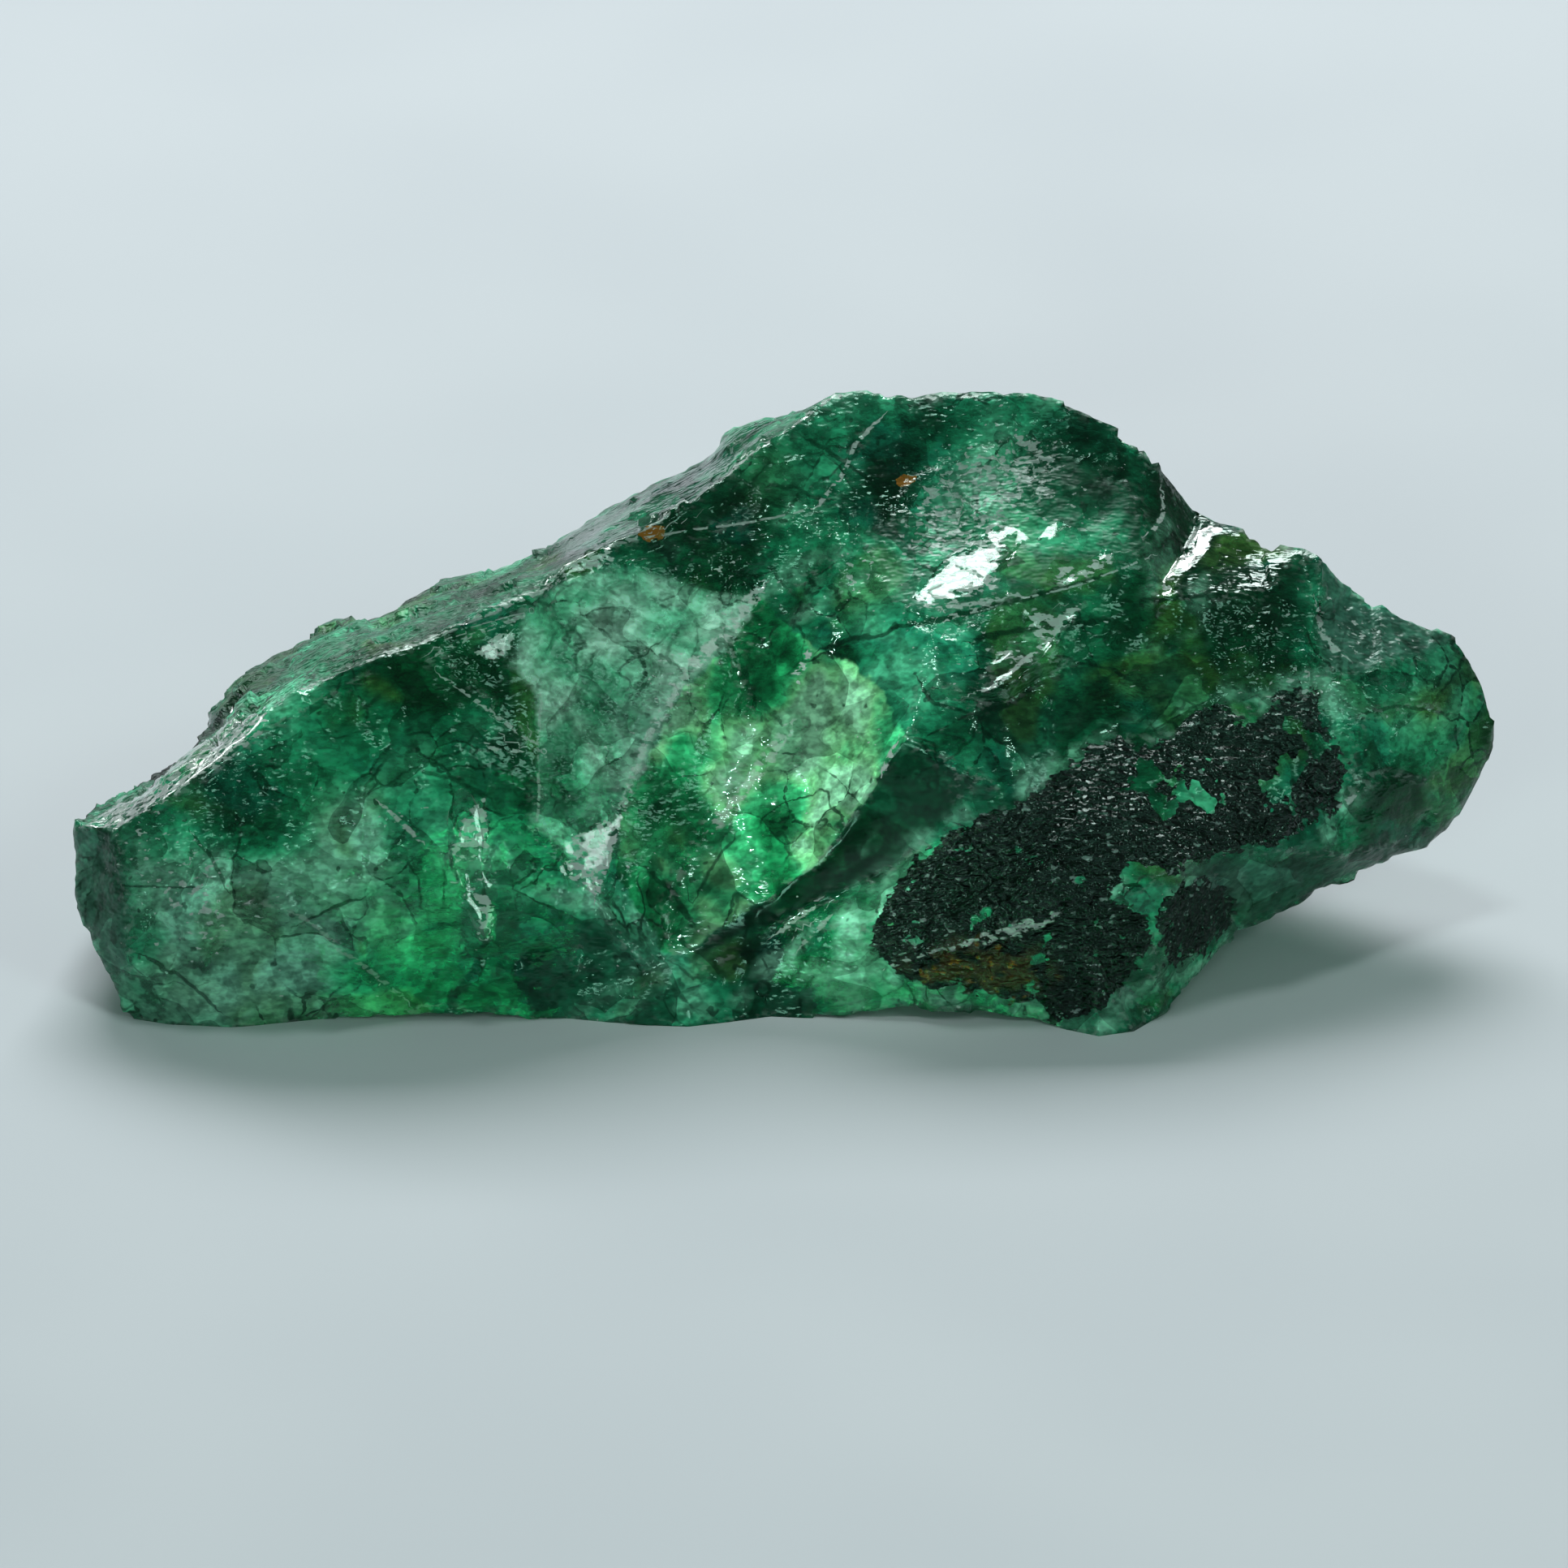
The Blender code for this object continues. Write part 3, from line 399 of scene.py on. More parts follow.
# Thin white lines along edges, partly the pale of bruising and partly painted highlight, and streaks of
# painted highlight on the schist: half the width in millimetres, strength, places.
GLINT_LINES = {
    "main_ridge": (0.08, 0.9, RIDGE_LINES["main_ridge"]),
    "brow": (0.07, 0.7, RIDGE_LINES["brow"][:6]),
    "brow_end": (0.12, 1.0, [(2.2, 17.3), (3.2, 18.5), (4.0, 19.8), (4.3, 20.8), (5.0, 21.6), (5.7, 22.3)]),
    "facet_edge_top": (0.32, 1.0, [(-1.6, 11.8), (-2.6, 10.6), (-3.6, 9.1), (-4.6, 8.3), (-5.5, 7.4)]),
    "facet_edge": (0.22, 0.6, [(-5.8, 7.1), (-6.8, 5.3), (-8.1, 3.3), (-9.3, 0.3), (-10.1, -2.0)]),
    "facet_edge_foot": (0.16, 1.0, [(-10.1, -2.0), (-10.8, -4.7), (-11.4, -6.7)]),
    "step_line": (0.11, 0.8, [(-20.5, 6.4), (-17.8, 4.3), (-14.9, 2.2)]),
    "crease": (0.08, 0.5, [(-14.8, 5.0), (-15.0, 1.8), (-15.0, -2.2)]),
    "spur": (0.12, 0.9, [(-18.0, 2.3), (-17.3, 2.0), (-16.3, 2.0)]),
    "under_main_ridge": (0.12, 0.7, [(-21.0, 8.0), (-18.7, 9.2), (-16.1, 10.2)]),
    "streak": (0.12, 0.9, [(-24.3, -1.4), (-23.3, -2.3), (-22.3, -3.3)]),
    "highlight_foot": (0.10, 1.0, [(8.2, 10.9), (10.7, 10.9), (11.7, 11.1), (14.2, 11.6)]),
    "under_highlight": (
        0.06, 0.9,
        [
            (10.0, 10.1), (11.2, 10.5), (13.2, 11.1), (14.7, 11.4), (16.2, 11.7), (18.2, 12.2),
            (19.7, 12.8), (22.2, 13.8),
        ],
    ),
    "second_highlight": (0.12, 1.0, [(11.7, 5.6), (13.0, 6.1), (14.7, 7.6), (16.2, 8.8), (17.2, 10.1)]),
    "notch": (0.13, 1.0, [(23.2, 17.8), (23.3, 16.8), (23.0, 16.1), (22.6, 15.6)]),
    "window_corner": (0.14, 1.0, [(6.7, 2.2), (6.1, 0.9)]),
    "grainy_face": (0.20, 1.0, [(32.8, 10.8), (33.2, 9.3), (33.7, 8.6), (34.2, 8.1)]),
    "left_seam": (0.14, 0.35, [(-29.6, -8.0), (-28.3, -8.7), (-27.1, -10.0), (-24.8, -11.7), (-23.3, -13.0)]),
    "window_streak": (0.35, 0.5, [(0.2, 3.3), (-1.6, 0.8), (-3.1, -1.2), (-4.1, -2.3)]),
    "chip_streak": (0.14, 0.7, [(1.8, -7.4), (-0.2, -9.0)]),
    "chip_streak_right": (0.12, 0.6, [(2.7, -8.2), (1.2, -9.7)]),
    "schist_painted_highlight": (0.28, 1.0, [(12.2, -9.4), (14.0, -8.9), (16.2, -8.1)]),
    "schist_painted_highlight_line": (0.12, 1.0, [(6.6, -11.1), (8.8, -10.4), (11.4, -9.6)]),
    "schist_end": (0.15, 1.0, [(34.0, -1.4), (34.9, -0.8)]),
}
# Cracks and seams, drawn in the same way.
DARK_LINES = {
    "crown": (0.12, 0.9, [(1.7, 21.1), (3.2, 20.3), (4.2, 19.4), (5.7, 18.6), (7.2, 17.7)]),
    "crown_left": (0.12, 0.8, [(-0.8, 18.3), (1.0, 18.2), (1.7, 17.7), (2.7, 17.5)]),
    "under_highlight": (
        0.14, 1.0,
        [
            (2.7, 8.3), (3.7, 8.8), (5.7, 9.1), (6.7, 9.6), (8.2, 9.9), (9.7, 10.2), (11.7, 10.7),
            (14.2, 11.2), (19.2, 12.6),
        ],
    ),
    "middle": (
        0.16, 1.0,
        [
            (11.7, 8.8), (14.2, 9.3), (18.7, 9.8), (20.0, 10.1), (21.5, 10.8), (22.2, 11.3), (25.7, 11.6),
            (27.2, 12.6), (29.0, 11.9),
        ],
    ),
    "right": (0.09, 0.9, [(16.7, 7.8), (19.0, 7.2), (20.2, 7.1), (21.2, 6.3)]),
    "middle_low": (0.12, 0.9, [(8.4, 6.0), (9.2, 4.8), (11.7, 4.3), (13.7, 4.8), (15.2, 5.8)]),
    "left_top": (0.14, 0.8, [(-21.8, 0.8), (-19.8, 0.3), (-18.3, -0.7)]),
    "left_low": (0.08, 0.9, [(-29.3, -8.5), (-27.3, -7.5), (-26.1, -7.0)]),
    "left_foot": (0.10, 0.9, [(-38.8, -10.7), (-37.3, -11.5), (-35.8, -12.5), (-34.8, -13.5)]),
    "left_upright": (0.10, 0.8, [(-35.8, -3.2), (-34.8, -4.7), (-34.1, -6.0)]),
    "left_level": (0.06, 0.8, [(-40.3, -6.2), (-35.8, -6.3)]),
    "window_low": (0.16, 0.9, [(-8.1, -5.5), (-6.8, -6.7), (-5.8, -8.2)]),
    "window_thin": (0.08, 0.8, [(-3.3, -3.5), (-4.3, -4.7), (-5.2, -6.5)]),
    "window_vein": (0.25, 0.8, [(-3.3, 8.3), (-1.8, 5.3), (-0.5, 4.1)]),
    "ridge_foot": (0.15, 0.6, [(7.2, 2.6), (4.7, -1.3), (2.2, -5.0), (-4.3, -9.5)]),
    "seam": (0.10, 0.8, [(35.7, 4.3), (37.7, 4.9), (40.7, 4.4)]),
    "bubble": (
        0.10, 0.9,
        [
            (-0.85, -12.5), (-0.98, -12.18), (-1.3, -12.05), (-1.62, -12.18), (-1.75, -12.5),
            (-1.62, -12.82), (-1.3, -12.95), (-0.98, -12.82), (-0.85, -12.5),
        ],
    ),
}


# ---------------------------------------------------------------- numbers over space
def scramble(ix, iy, iz, seed):
    """Evenly spread numbers from 0 to 1, one for each whole-numbered corner of space: the corner's three
    numbers are multiplied by large primes, mixed bit by bit and cut to their lowest 24 bits."""
    mixed = (ix * 73856093) ^ (iy * 19349663) ^ (iz * 83492791) ^ (seed * 2654435761)
    mixed = (mixed ^ (mixed >> 13)) * 1274126177
    mixed ^= mixed >> 16
    return (mixed & 0xFFFFFF) / float(0xFFFFFF)


def swell(points, span, seed=0):
    """Smooth hills from -1 to 1, about `span` across: random heights at the corners of a cube, blended to
    each point by the cubic 3t^2 - 2t^3 along each axis."""
    scaled = points / span
    low = np.floor(scaled).astype(np.int64)
    t = scaled - low
    t = t * t * (3.0 - 2.0 * t)
    total = np.zeros(len(points))
    for corner in itertools.product((0, 1), repeat=3):
        shares = np.where(corner, t, 1.0 - t)
        total += shares[:, 0] * shares[:, 1] * shares[:, 2] * scramble(*(low + corner).T, seed)
    return 2.0 * total - 1.0


def layered(points, span, layers, seed=0):
    """Hills with smaller hills on them: each layer is half as wide and half as high as the one before."""
    return sum(swell(points, span * 0.5**n, seed + 17 * n) * 0.5**n for n in range(layers))


def sloping_cells(points, span, seed=0):
    """Space shared out among random centres, one in each cube of side `span`: the height of each point on
    its nearest centre's own randomly sloping plane."""
    scaled = points / span
    low = np.floor(scaled).astype(np.int64)
    nearest = np.full(len(points), 9.0)
    height = np.zeros(len(points))
    for step in itertools.product((-1, 0, 1), repeat=3):
        corner = low + step
        centre = np.stack([corner[:, a] + scramble(*corner.T, seed + a) for a in range(3)], 1)
        slope = np.stack([2.0 * scramble(*corner.T, seed + 3 + a) - 1.0 for a in range(3)], 1)
        gap = np.linalg.norm(scaled - centre, axis=1)
        height = np.where(gap < nearest, np.sum((scaled - centre) * slope, axis=1), height)
        nearest = np.minimum(nearest, gap)
    return height * span


def pushed(points, span, amount, seed):
    """The points pushed about by noise, so that a pattern worked out from them wanders."""
    return points + amount * np.stack([layered(points, span, 3, seed + 100 * a) for a in range(3)], 1)


def wandering_space(points):
    """The pushed points that the stone's clouds and cells share."""
    return pushed(points, 5.0 * MM, 1.8 * MM, 21)


def ramp(value, stops):
    """A colour for each value, in straight lines between stops of (value, colour)."""
    at = [stop[0] for stop in stops]
    return np.stack([np.interp(value, at, [stop[1][i] for stop in stops]) for i in range(3)], 1)


def mixed(below, above, share):
    """Two arrays of colours mixed by a share from 0 to 1."""
    return below + np.clip(share, 0.0, 1.0)[:, None] * (np.asarray(above) - below)


def smooth_step(low, high, value):
    """0 below low, 1 above high, and the cubic 3t^2 - 2t^3 between."""
    t = np.clip((value - low) / (high - low), 0.0, 1.0)
    return t * t * (3.0 - 2.0 * t)


# ---------------------------------------------------------------- board
def on_board(points):
    """(right, rise) on the leaning board, in metres: right is X, rise is Y sin(lean) + Z cos(lean)."""
    back = points[:, 1] - BOARD_MIDDLE[1]
    rise = back * math.sin(BOARD_LEAN) + (points[:, 2] - BOARD_HEIGHT) * math.cos(BOARD_LEAN)
    return np.stack([points[:, 0] - BOARD_MIDDLE[0], rise], 1)


def gap_to_stretch(places, a, b):
    """The distance from each place to the straight stretch from a to b."""
    run = b - a
    along = np.clip(((places - a) @ run) / max(run @ run, 1e-12), 0.0, 1.0)
    return np.linalg.norm(places - (a + along[:, None] * run), axis=1)


def inside_by(places, outline):
    """How far each place lies inside an outline, in metres, and below zero outside: the least distance to
    its edges, with a sign: inside, the edges crossed on the way to the right are odd in number."""
    corners = np.array(outline) * MM
    least = np.full(len(places), 1.0)
    within = np.zeros(len(places), bool)
    for a, b in zip(corners, np.roll(corners, -1, axis=0)):
        least = np.minimum(least, gap_to_stretch(places, a, b))
        crosses = (a[1] > places[:, 1]) != (b[1] > places[:, 1])
        rise = b[1] - a[1] if b[1] != a[1] else 1e-12
        within ^= crosses & (places[:, 0] < (b[0] - a[0]) * (places[:, 1] - a[1]) / rise + a[0])
    return np.where(within, least, -least)


def gap_to_line(places, line):
    """The distance from each place to the nearest stretch of a line, in metres."""
    corners = np.array(line) * MM
    return np.min([gap_to_stretch(places, a, b) for a, b in zip(corners[:-1], corners[1:])], axis=0)


def beside_lines(places, lines):
    """For each place the signed distance to the nearest line, in halves of that line's width, and how
    strongly that line shows there. The sign tells which side the place is on, so the line is where the
    value crosses zero; the strength fades from 0.6 to 1.1 mm away."""
    nearest = np.full(len(places), 1.0)
    signed = np.full(len(places), 9.0)
    strength = np.zeros(len(places))
    for half_width, share, line in lines.values():
        corners = np.array(line) * MM
        for a, b in zip(corners[:-1], corners[1:]):
            length = gap_to_stretch(places, a, b)
            run = b - a
            side = np.sign(run[0] * (places[:, 1] - a[1]) - run[1] * (places[:, 0] - a[0]))
            closer = length < nearest
            nearest = np.where(closer, length, nearest)
            signed = np.where(closer, side * length / (half_width * MM), signed)
            strength = np.where(closer, share, strength)
    return np.clip(signed, -12.0, 12.0), strength * smooth_step(1.1 * MM, 0.6 * MM, nearest)


def spots(places, marks):
    """The sum of soft round spots: amount times exp(-(distance / reach)^2)."""
    total = np.zeros(len(places))
    for right, rise, reach, amount in marks.values():
        away = np.linalg.norm(places - np.array([right, rise]) * MM, axis=1)
        total += amount * np.exp(-((away / (reach * MM)) ** 2))
    return total


def facing_board(normals):
    """1 where the surface looks towards the near side, and 0 where it looks away."""
    board = np.array([0.0, -math.cos(BOARD_LEAN), math.sin(BOARD_LEAN)])
    return smooth_step(-0.05, 0.15, normals @ board)


# ---------------------------------------------------------------- surface of the stone
def surface(name, points, faces):
    """A smooth-shaded object at the origin, made from points and faces."""
    mesh = bpy.data.meshes.new(name)
    mesh.from_pydata(points, [], faces.tolist())
    mesh.shade_smooth()
    piece = bpy.data.objects.new(name, mesh)
    bpy.context.scene.collection.objects.link(piece)
    return piece


def solid_of(node):
    """The node's corners, each once, and its triangles."""
    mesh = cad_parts[node].data
    places = np.empty(len(mesh.vertices) * 3, np.float32)
    mesh.vertices.foreach_get("co", places)
    corners = np.empty(len(mesh.loops), np.int32)
    mesh.loops.foreach_get("vertex_index", corners)
    keys = np.round(places.reshape(-1, 3) / (0.0001 * MM)).astype(np.int64)
    _, first, index = np.unique(keys, axis=0, return_index=True, return_inverse=True)
    faces = index.reshape(-1)[corners].reshape(-1, 3)
    whole = (faces[:, 0] != faces[:, 1]) & (faces[:, 1] != faces[:, 2]) & (faces[:, 0] != faces[:, 2])
    return places.reshape(-1, 3)[first].astype(float), faces[whole]


def unit(vectors):
    """Each vector over its length."""
    return vectors / np.maximum(np.linalg.norm(vectors, axis=1, keepdims=True), 1e-18)


def face_crosses(points, faces):
    """The cross product of two sides of each triangle."""
    a, b, c = (points[faces[:, i]] for i in range(3))
    return np.cross(b - a, c - a)


def point_normals(points, faces):
    """Unit normal at each point: the sum of its triangles' cross products, which weighs them by area."""
    corners = faces.reshape(-1)
    crosses = np.repeat(face_crosses(points, faces), 3, axis=0)
    return unit(np.stack([np.bincount(corners, crosses[:, i], len(points)) for i in range(3)], 1))


def sides_of(faces):
    """Each side of the net once, as (low, high), the sides of each triangle in it, and its two triangles."""
    ends = np.concatenate([faces[:, [0, 1]], faces[:, [1, 2]], faces[:, [2, 0]]])
    sides, index = np.unique(np.sort(ends, axis=1), axis=0, return_inverse=True)
    index = index.reshape(-1)
    order = np.argsort(index, kind="stable")
    pairs = (order % len(faces)).reshape(-1, 2)
    return sides, index.reshape(3, -1).T, pairs


def fold_angles(points, faces, pairs):
    """The angle between the two triangles at each side."""
    normal = unit(face_crosses(points, faces))
    return np.arccos(np.clip(np.sum(normal[pairs[:, 0]] * normal[pairs[:, 1]], axis=1), -1.0, 1.0))


def on_ridge_lines(points, faces, sides):
    """Which sides of the net run along the named ridges: both ends close to one line, facing the board."""
    places = on_board(points)
    facing = facing_board(point_normals(points, faces)) > 0.5
    found = np.zeros(len(sides), bool)
    for line in RIDGE_LINES.values():
        near = facing & (gap_to_line(places, line) < RIDGE_REACH)
        found |= near[sides[:, 0]] & near[sides[:, 1]]
    return found


def fine_net(points, faces, rows):
    """Each triangle ABC as the flat patch P(u, v) = (1-u-v)A + uB + vC, on a grid of u and v in steps of
    1/rows. Points on a side belong to both of its triangles. Also gives the fine sides along the ridges."""
    sides, side_of, pairs = sides_of(faces)
    ridge = (fold_angles(points, faces, pairs) > RIDGE_ANGLE) | on_ridge_lines(points, faces, sides)
    steps = np.arange(1, rows) / rows
    low, high = points[sides[:, 0]], points[sides[:, 1]]
    on_sides = low[:, None] * (1.0 - steps)[None, :, None] + high[:, None] * steps[None, :, None]
    inner = [(i, j) for i in range(1, rows) for j in range(1, rows - i)]
    a, b, c = (points[faces[:, n]] for n in range(3))
    in_faces = np.stack([a * (1 - (i + j) / rows) + b * i / rows + c * j / rows for i, j in inner], 1)
    side_start = len(points)
    face_start = side_start + len(sides) * (rows - 1)
    fine = np.concatenate([points, on_sides.reshape(-1, 3), in_faces.reshape(-1, 3)])

    def on_side(n, start, step):
        """Index of the point `step` steps along side n of every triangle, counted from corner `start`."""
        turned = sides[side_of[:, n], 0] != faces[:, start]
        return side_start + side_of[:, n] * (rows - 1) + np.where(turned, rows - step, step) - 1

    place = {(0, 0): faces[:, 0], (rows, 0): faces[:, 1], (0, rows): faces[:, 2]}
    for step in range(1, rows):
        place[step, 0] = on_side(0, 0, step)
        place[rows - step, step] = on_side(1, 1, step)
        place[0, step] = on_side(2, 0, step)
    for n, step in enumerate(inner):
        place[step] = face_start + np.arange(len(faces)) * len(inner) + n
    upright = [(i, j) for i in range(rows) for j in range(rows - i)]
    hanging = [(i, j) for i in range(rows) for j in range(rows - 1 - i)]
    small = [(place[i, j], place[i + 1, j], place[i, j + 1]) for i, j in upright]
    small += [(place[i + 1, j], place[i + 1, j + 1], place[i, j + 1]) for i, j in hanging]
    fine_faces = np.concatenate([np.stack(corners, 1) for corners in small])

    between = side_start + np.arange(len(sides))[:, None] * (rows - 1) + np.arange(rows - 1)[None]
    runs = np.concatenate([sides[:, :1], between, sides[:, 1:]], axis=1)[ridge]
    ridge_sides = np.stack([runs[:, :-1].reshape(-1), runs[:, 1:].reshape(-1)], 1)
    return fine, fine_faces, ridge_sides


def neighbour_sum(value, sides):
    """For each point the sum of its neighbours' values over the sides of the net."""
    one, other = sides[:, 0], sides[:, 1]
    return np.bincount(one, value[other], len(value)) + np.bincount(other, value[one], len(value))


def neighbour_count(sides, points):
    """How many neighbours each of that many points has, and at least 1."""
    return np.maximum(np.bincount(sides.reshape(-1), minlength=points), 1)


def relaxed(points, sides, ridge_sides):
    """Each point goes halfway to the mean of its neighbours, round after round: first the ridge points, to
    the mean of their neighbours along the ridge, and then the points of the faces between them."""
    ridge_count = np.bincount(ridge_sides.reshape(-1), minlength=len(points))
    points = points.copy()
    for rounds, net, free in (
        (RIDGE_ROUNDS, ridge_sides, ridge_count == 2),
        (FACE_ROUNDS, sides, ridge_count == 0),
    ):
        count = neighbour_count(net, len(points))[:, None]
        for _ in range(rounds):
            mean = np.stack([neighbour_sum(points[:, i], net) for i in range(3)], 1) / count
            points[free] += 0.5 * (mean[free] - points[free])
    return points


def spread(value, sides, rounds):
    """A value carried outwards over the net, fading: each round takes the mean with its neighbours'."""
    count = neighbour_count(sides, len(value))
    for _ in range(rounds):
        value = 0.5 * value + 0.5 * neighbour_sum(value, sides) / count
    return value


def finish_masks(points, normals):
    """The fields that the finish follows at every point: shares from 0 to 1, depths inside a border in
    millimetres, cut off at 3, lines in halves of their width, and tones to add."""
    facing = facing_board(normals)
    places = on_board(points)
    ragged = 0.7 * MM * layered(points, 2.6 * MM, 4, 5)

    def depth_in(outlines):
        """The greatest depth inside any of the outlines."""
        return np.max([inside_by(places, outline) for outline in outlines.values()], axis=0)

    def share_in(outlines, soft, rough=1.0):
        """1 inside the outlines on the near side, with a soft and ragged border."""
        return facing * smooth_step(-soft * MM, soft * MM, depth_in(outlines) + rough * ragged)

    def clipped(depth):
        """A depth in millimetres from -3 to 3, and -3 on the far side."""
        return np.where(facing > 0.5, np.clip(depth / MM, -3.0, 3.0), -3.0)

    far_schist = 3.0 * (layered(points, 9.0 * MM, 4, 41) - 0.42)
    schist_depth = (depth_in(SCHIST) + ragged) / MM
    far_sparkle = smooth_step(0.10, 0.50, layered(points, 6.0 * MM, 3, 43))
    glint_line, glint_strength = beside_lines(places, GLINT_LINES)
    dark_line, dark_strength = beside_lines(places, DARK_LINES)
    return {
        "schist_depth": np.where(facing > 0.5, np.clip(schist_depth, -3.0, 3.0), far_schist),
        "window_depth": clipped(inside_by(places, WINDOW)),
        "glossy_depth": clipped(depth_in(GLOSSY)),
        "frost_depth": clipped(depth_in(FROST_AND_HIGHLIGHT_PATCHES)),
        "glint_line": glint_line,
        "glint_strength": facing * glint_strength,
        "dark_line": dark_line,
        "dark_strength": facing * dark_strength,
        "groove": share_in({"groove": GROOVE}, 0.35, 0.3),
        # the hazy facet: rougher, and pale with painted sheen
        "cloudy": share_in({"facet": SHEENED_FACET}, 0.3, 0.2),
        "satin_sheen": share_in(SATIN_SHEEN, 0.4, 0.4),
        "crown": share_in({"slope": CROWN_SLOPE}, 0.5, 0.4),
        "pale": share_in({"chips": PALE_CHIPS}, 0.6),
        "brown": share_in({"stain": BROWN_STAIN}, 0.8) + facing * spots(places, RUST_FLECKS),
        "tone": facing * spots(places, TONES),
        "window_tone": spots(places, WINDOW_TONES),
        "olive": facing * spots(places, OLIVE_SPOTS),
        "inclusion": facing * spots(places, INCLUSIONS),
        "back_slope": (
            smooth_step(-0.10, 0.25, normals[:, 1]) * smooth_step(-0.3, 0.2, normals[:, 2])
            * (1.0 - np.clip(facing * spots(places, SMOOTH_STRIP), 0.0, 1.0))
        ),
        "sparkle": np.clip(facing * spots(places, SPARKLES) + (1.0 - facing) * far_sparkle, 0.0, 1.9),
    }


def flat_chips(points, normals):
    """Height in metres that lays the surface inside each glossy outline on a plane: the plane goes through
    the mean of the outline's points, across their mean normal, and the height fades out at the outline."""
    facing = facing_board(normals) > 0.5
    places = on_board(points)
    height = np.zeros(len(points))
    for outline in GLOSSY.values():
        depth = inside_by(places, outline)
        inside = facing & (depth > 0.0)
        middle, across = points[inside].mean(axis=0), normals[inside].mean(axis=0)
        across /= np.linalg.norm(across)
        to_plane = np.clip((middle - points) @ across, -0.45 * MM, 0.45 * MM)
        height += np.where(facing, to_plane * smooth_step(-0.1 * MM, 0.3 * MM, depth), 0.0)
    return height


def broken_skin(points, masks, ridge_near):
    """Height of the broken skin in metres: gentle swellings, a grain drawn out along the stone, chips with
    sloping faces, flaky schist, and nicks along the ridges."""
    drawn_out = points * np.array([0.6, 1.0, 1.0])
    schist = smooth_step(-0.3, 0.3, masks["schist_depth"])
    swellings = 0.035 * MM * layered(points, 3.2 * MM, 2, 1)
    grain = 0.014 * MM * layered(drawn_out, 0.75 * MM, 2, 2)
    large_chips = sloping_cells(pushed(points, 4.0 * MM, 0.9 * MM, 61), 4.2 * MM, 7)
    small_chips = sloping_cells(pushed(points, 2.0 * MM, 0.6 * MM, 62), 1.9 * MM, 8)
    chipped = 0.25 + 0.75 * np.maximum(masks["back_slope"], 0.8 * masks["sparkle"])
    chips = 0.13 * large_chips * (0.4 + 0.6 * chipped)
    chips += 0.12 * small_chips * chipped * (1.0 - 0.5 * masks["back_slope"])
    chips *= (1.0 - 0.85 * masks["groove"]) * (1.0 - 0.85 * smooth_step(-0.2, 0.3, masks["glossy_depth"]))
    flakes = 0.11 * MM * layered(points * np.array([1.0, 1.6, 1.6]), 1.1 * MM, 2, 9) * schist
    nicks = -0.20 * MM * ridge_near * smooth_step(0.10, 0.75, layered(points, 1.3 * MM, 3, 12))
    rough = 0.7 + 1.3 * masks["satin_sheen"] + 0.8 * masks["cloudy"]
    return swellings + grain * rough + chips + flakes + nicks


def beryl_colours(points, masks):
    """The stone's colour at each point: cloudy patches of deep and light green with olive stains; paler and
    darker places, among them painted shade and a painted highlight; the hazy facet with pale painted sheen,
    the pale chips, painted shade in the groove, and grey painted sheen on the grainy faces."""
    wandering = wandering_space(points)
    clouds = layered(wandering, 6.5 * MM, 4, 31)
    tone = 0.54 + 0.55 * clouds + masks["tone"]
    greens = ((0.0, DEEP_GREEN), (0.30, SHADE_GREEN), (0.58, EMERALD_GREEN), (0.85, LIGHT_GREEN), (1.1, MINT))
    colour = ramp(tone, greens)
    stain = smooth_step(0.42, 0.80, layered(wandering, 4.8 * MM, 3, 51))
    stain += masks["olive"] * (0.7 + 0.8 * clouds)
    colour = mixed(colour, OLIVE, 0.5 * stain)
    colour = mixed(colour, TEAL, 0.15 * smooth_step(0.30, 0.60, layered(wandering, 3.6 * MM, 3, 52)))

    # The hazy facet: pale blots of painted sheen over its green.
    blots = layered(pushed(points, 3.0 * MM, 1.0 * MM, 71), 3.4 * MM, 3, 72)
    facet = ramp(0.5 + 0.5 * blots, ((-0.2, SHADE_GREEN), (0.25, FACET_SHEEN_GREEN), (0.75, FACET_SHEEN_PALE)))
    colour = mixed(colour, facet, 0.92 * masks["cloudy"])
    # Painted shade in the recessed groove.
    colour = mixed(colour, DEEP_GREEN, masks["groove"] * (0.92 + 0.5 * clouds))
    fibres = layered(turned_to_fibres(points), 1.5 * MM, 3, 81)
    pale = np.maximum(masks["pale"], 0.3 * smooth_step(0.25, 0.55, layered(points, 8.0 * MM, 2, 82)))
    colour = mixed(colour, MINT, 0.9 * pale * smooth_step(0.0, 0.45, fibres))
    fringe = np.exp(-(((masks["schist_depth"] + 0.7) / 0.8) ** 2))
    torn = smooth_step(-0.25, 0.35, layered(wandering, 1.8 * MM, 3, 83))
    colour = mixed(colour, MINT, 0.75 * fringe * torn)
    # Grey of painted sheen on the rough, grainy faces.
    return mixed(colour, SATIN_SHEEN_GREY, 0.72 * masks["satin_sheen"])


def window_glow_colours(points, masks):
    """The clear window's colour: yellow-green and mint patches between dark green veins, made bright as
    painted glow.
    """
    wandering = pushed(points, 3.5 * MM, 1.4 * MM, 23)
    patches = layered(wandering, 4.2 * MM, 4, 91)
    tone = 0.62 + 0.60 * patches + 1.3 * masks["window_tone"]
    darks = ((0.0, WINDOW_DARK), (0.35, WINDOW_GREEN), (0.60, WINDOW_MIDDLE))
    colour = ramp(tone, (*darks, (0.85, WINDOW_LIGHT), (1.15, WINDOW_PALE)))
    streaks = layered(turned_to_fibres(points), 2.6 * MM, 3, 93)
    colour = mixed(colour, WINDOW_DARK, 0.5 * smooth_step(0.20, 0.55, streaks))
    return mixed(colour, WINDOW_OLIVE, 0.7 * masks["olive"] * smooth_step(-0.2, 0.3, patches))


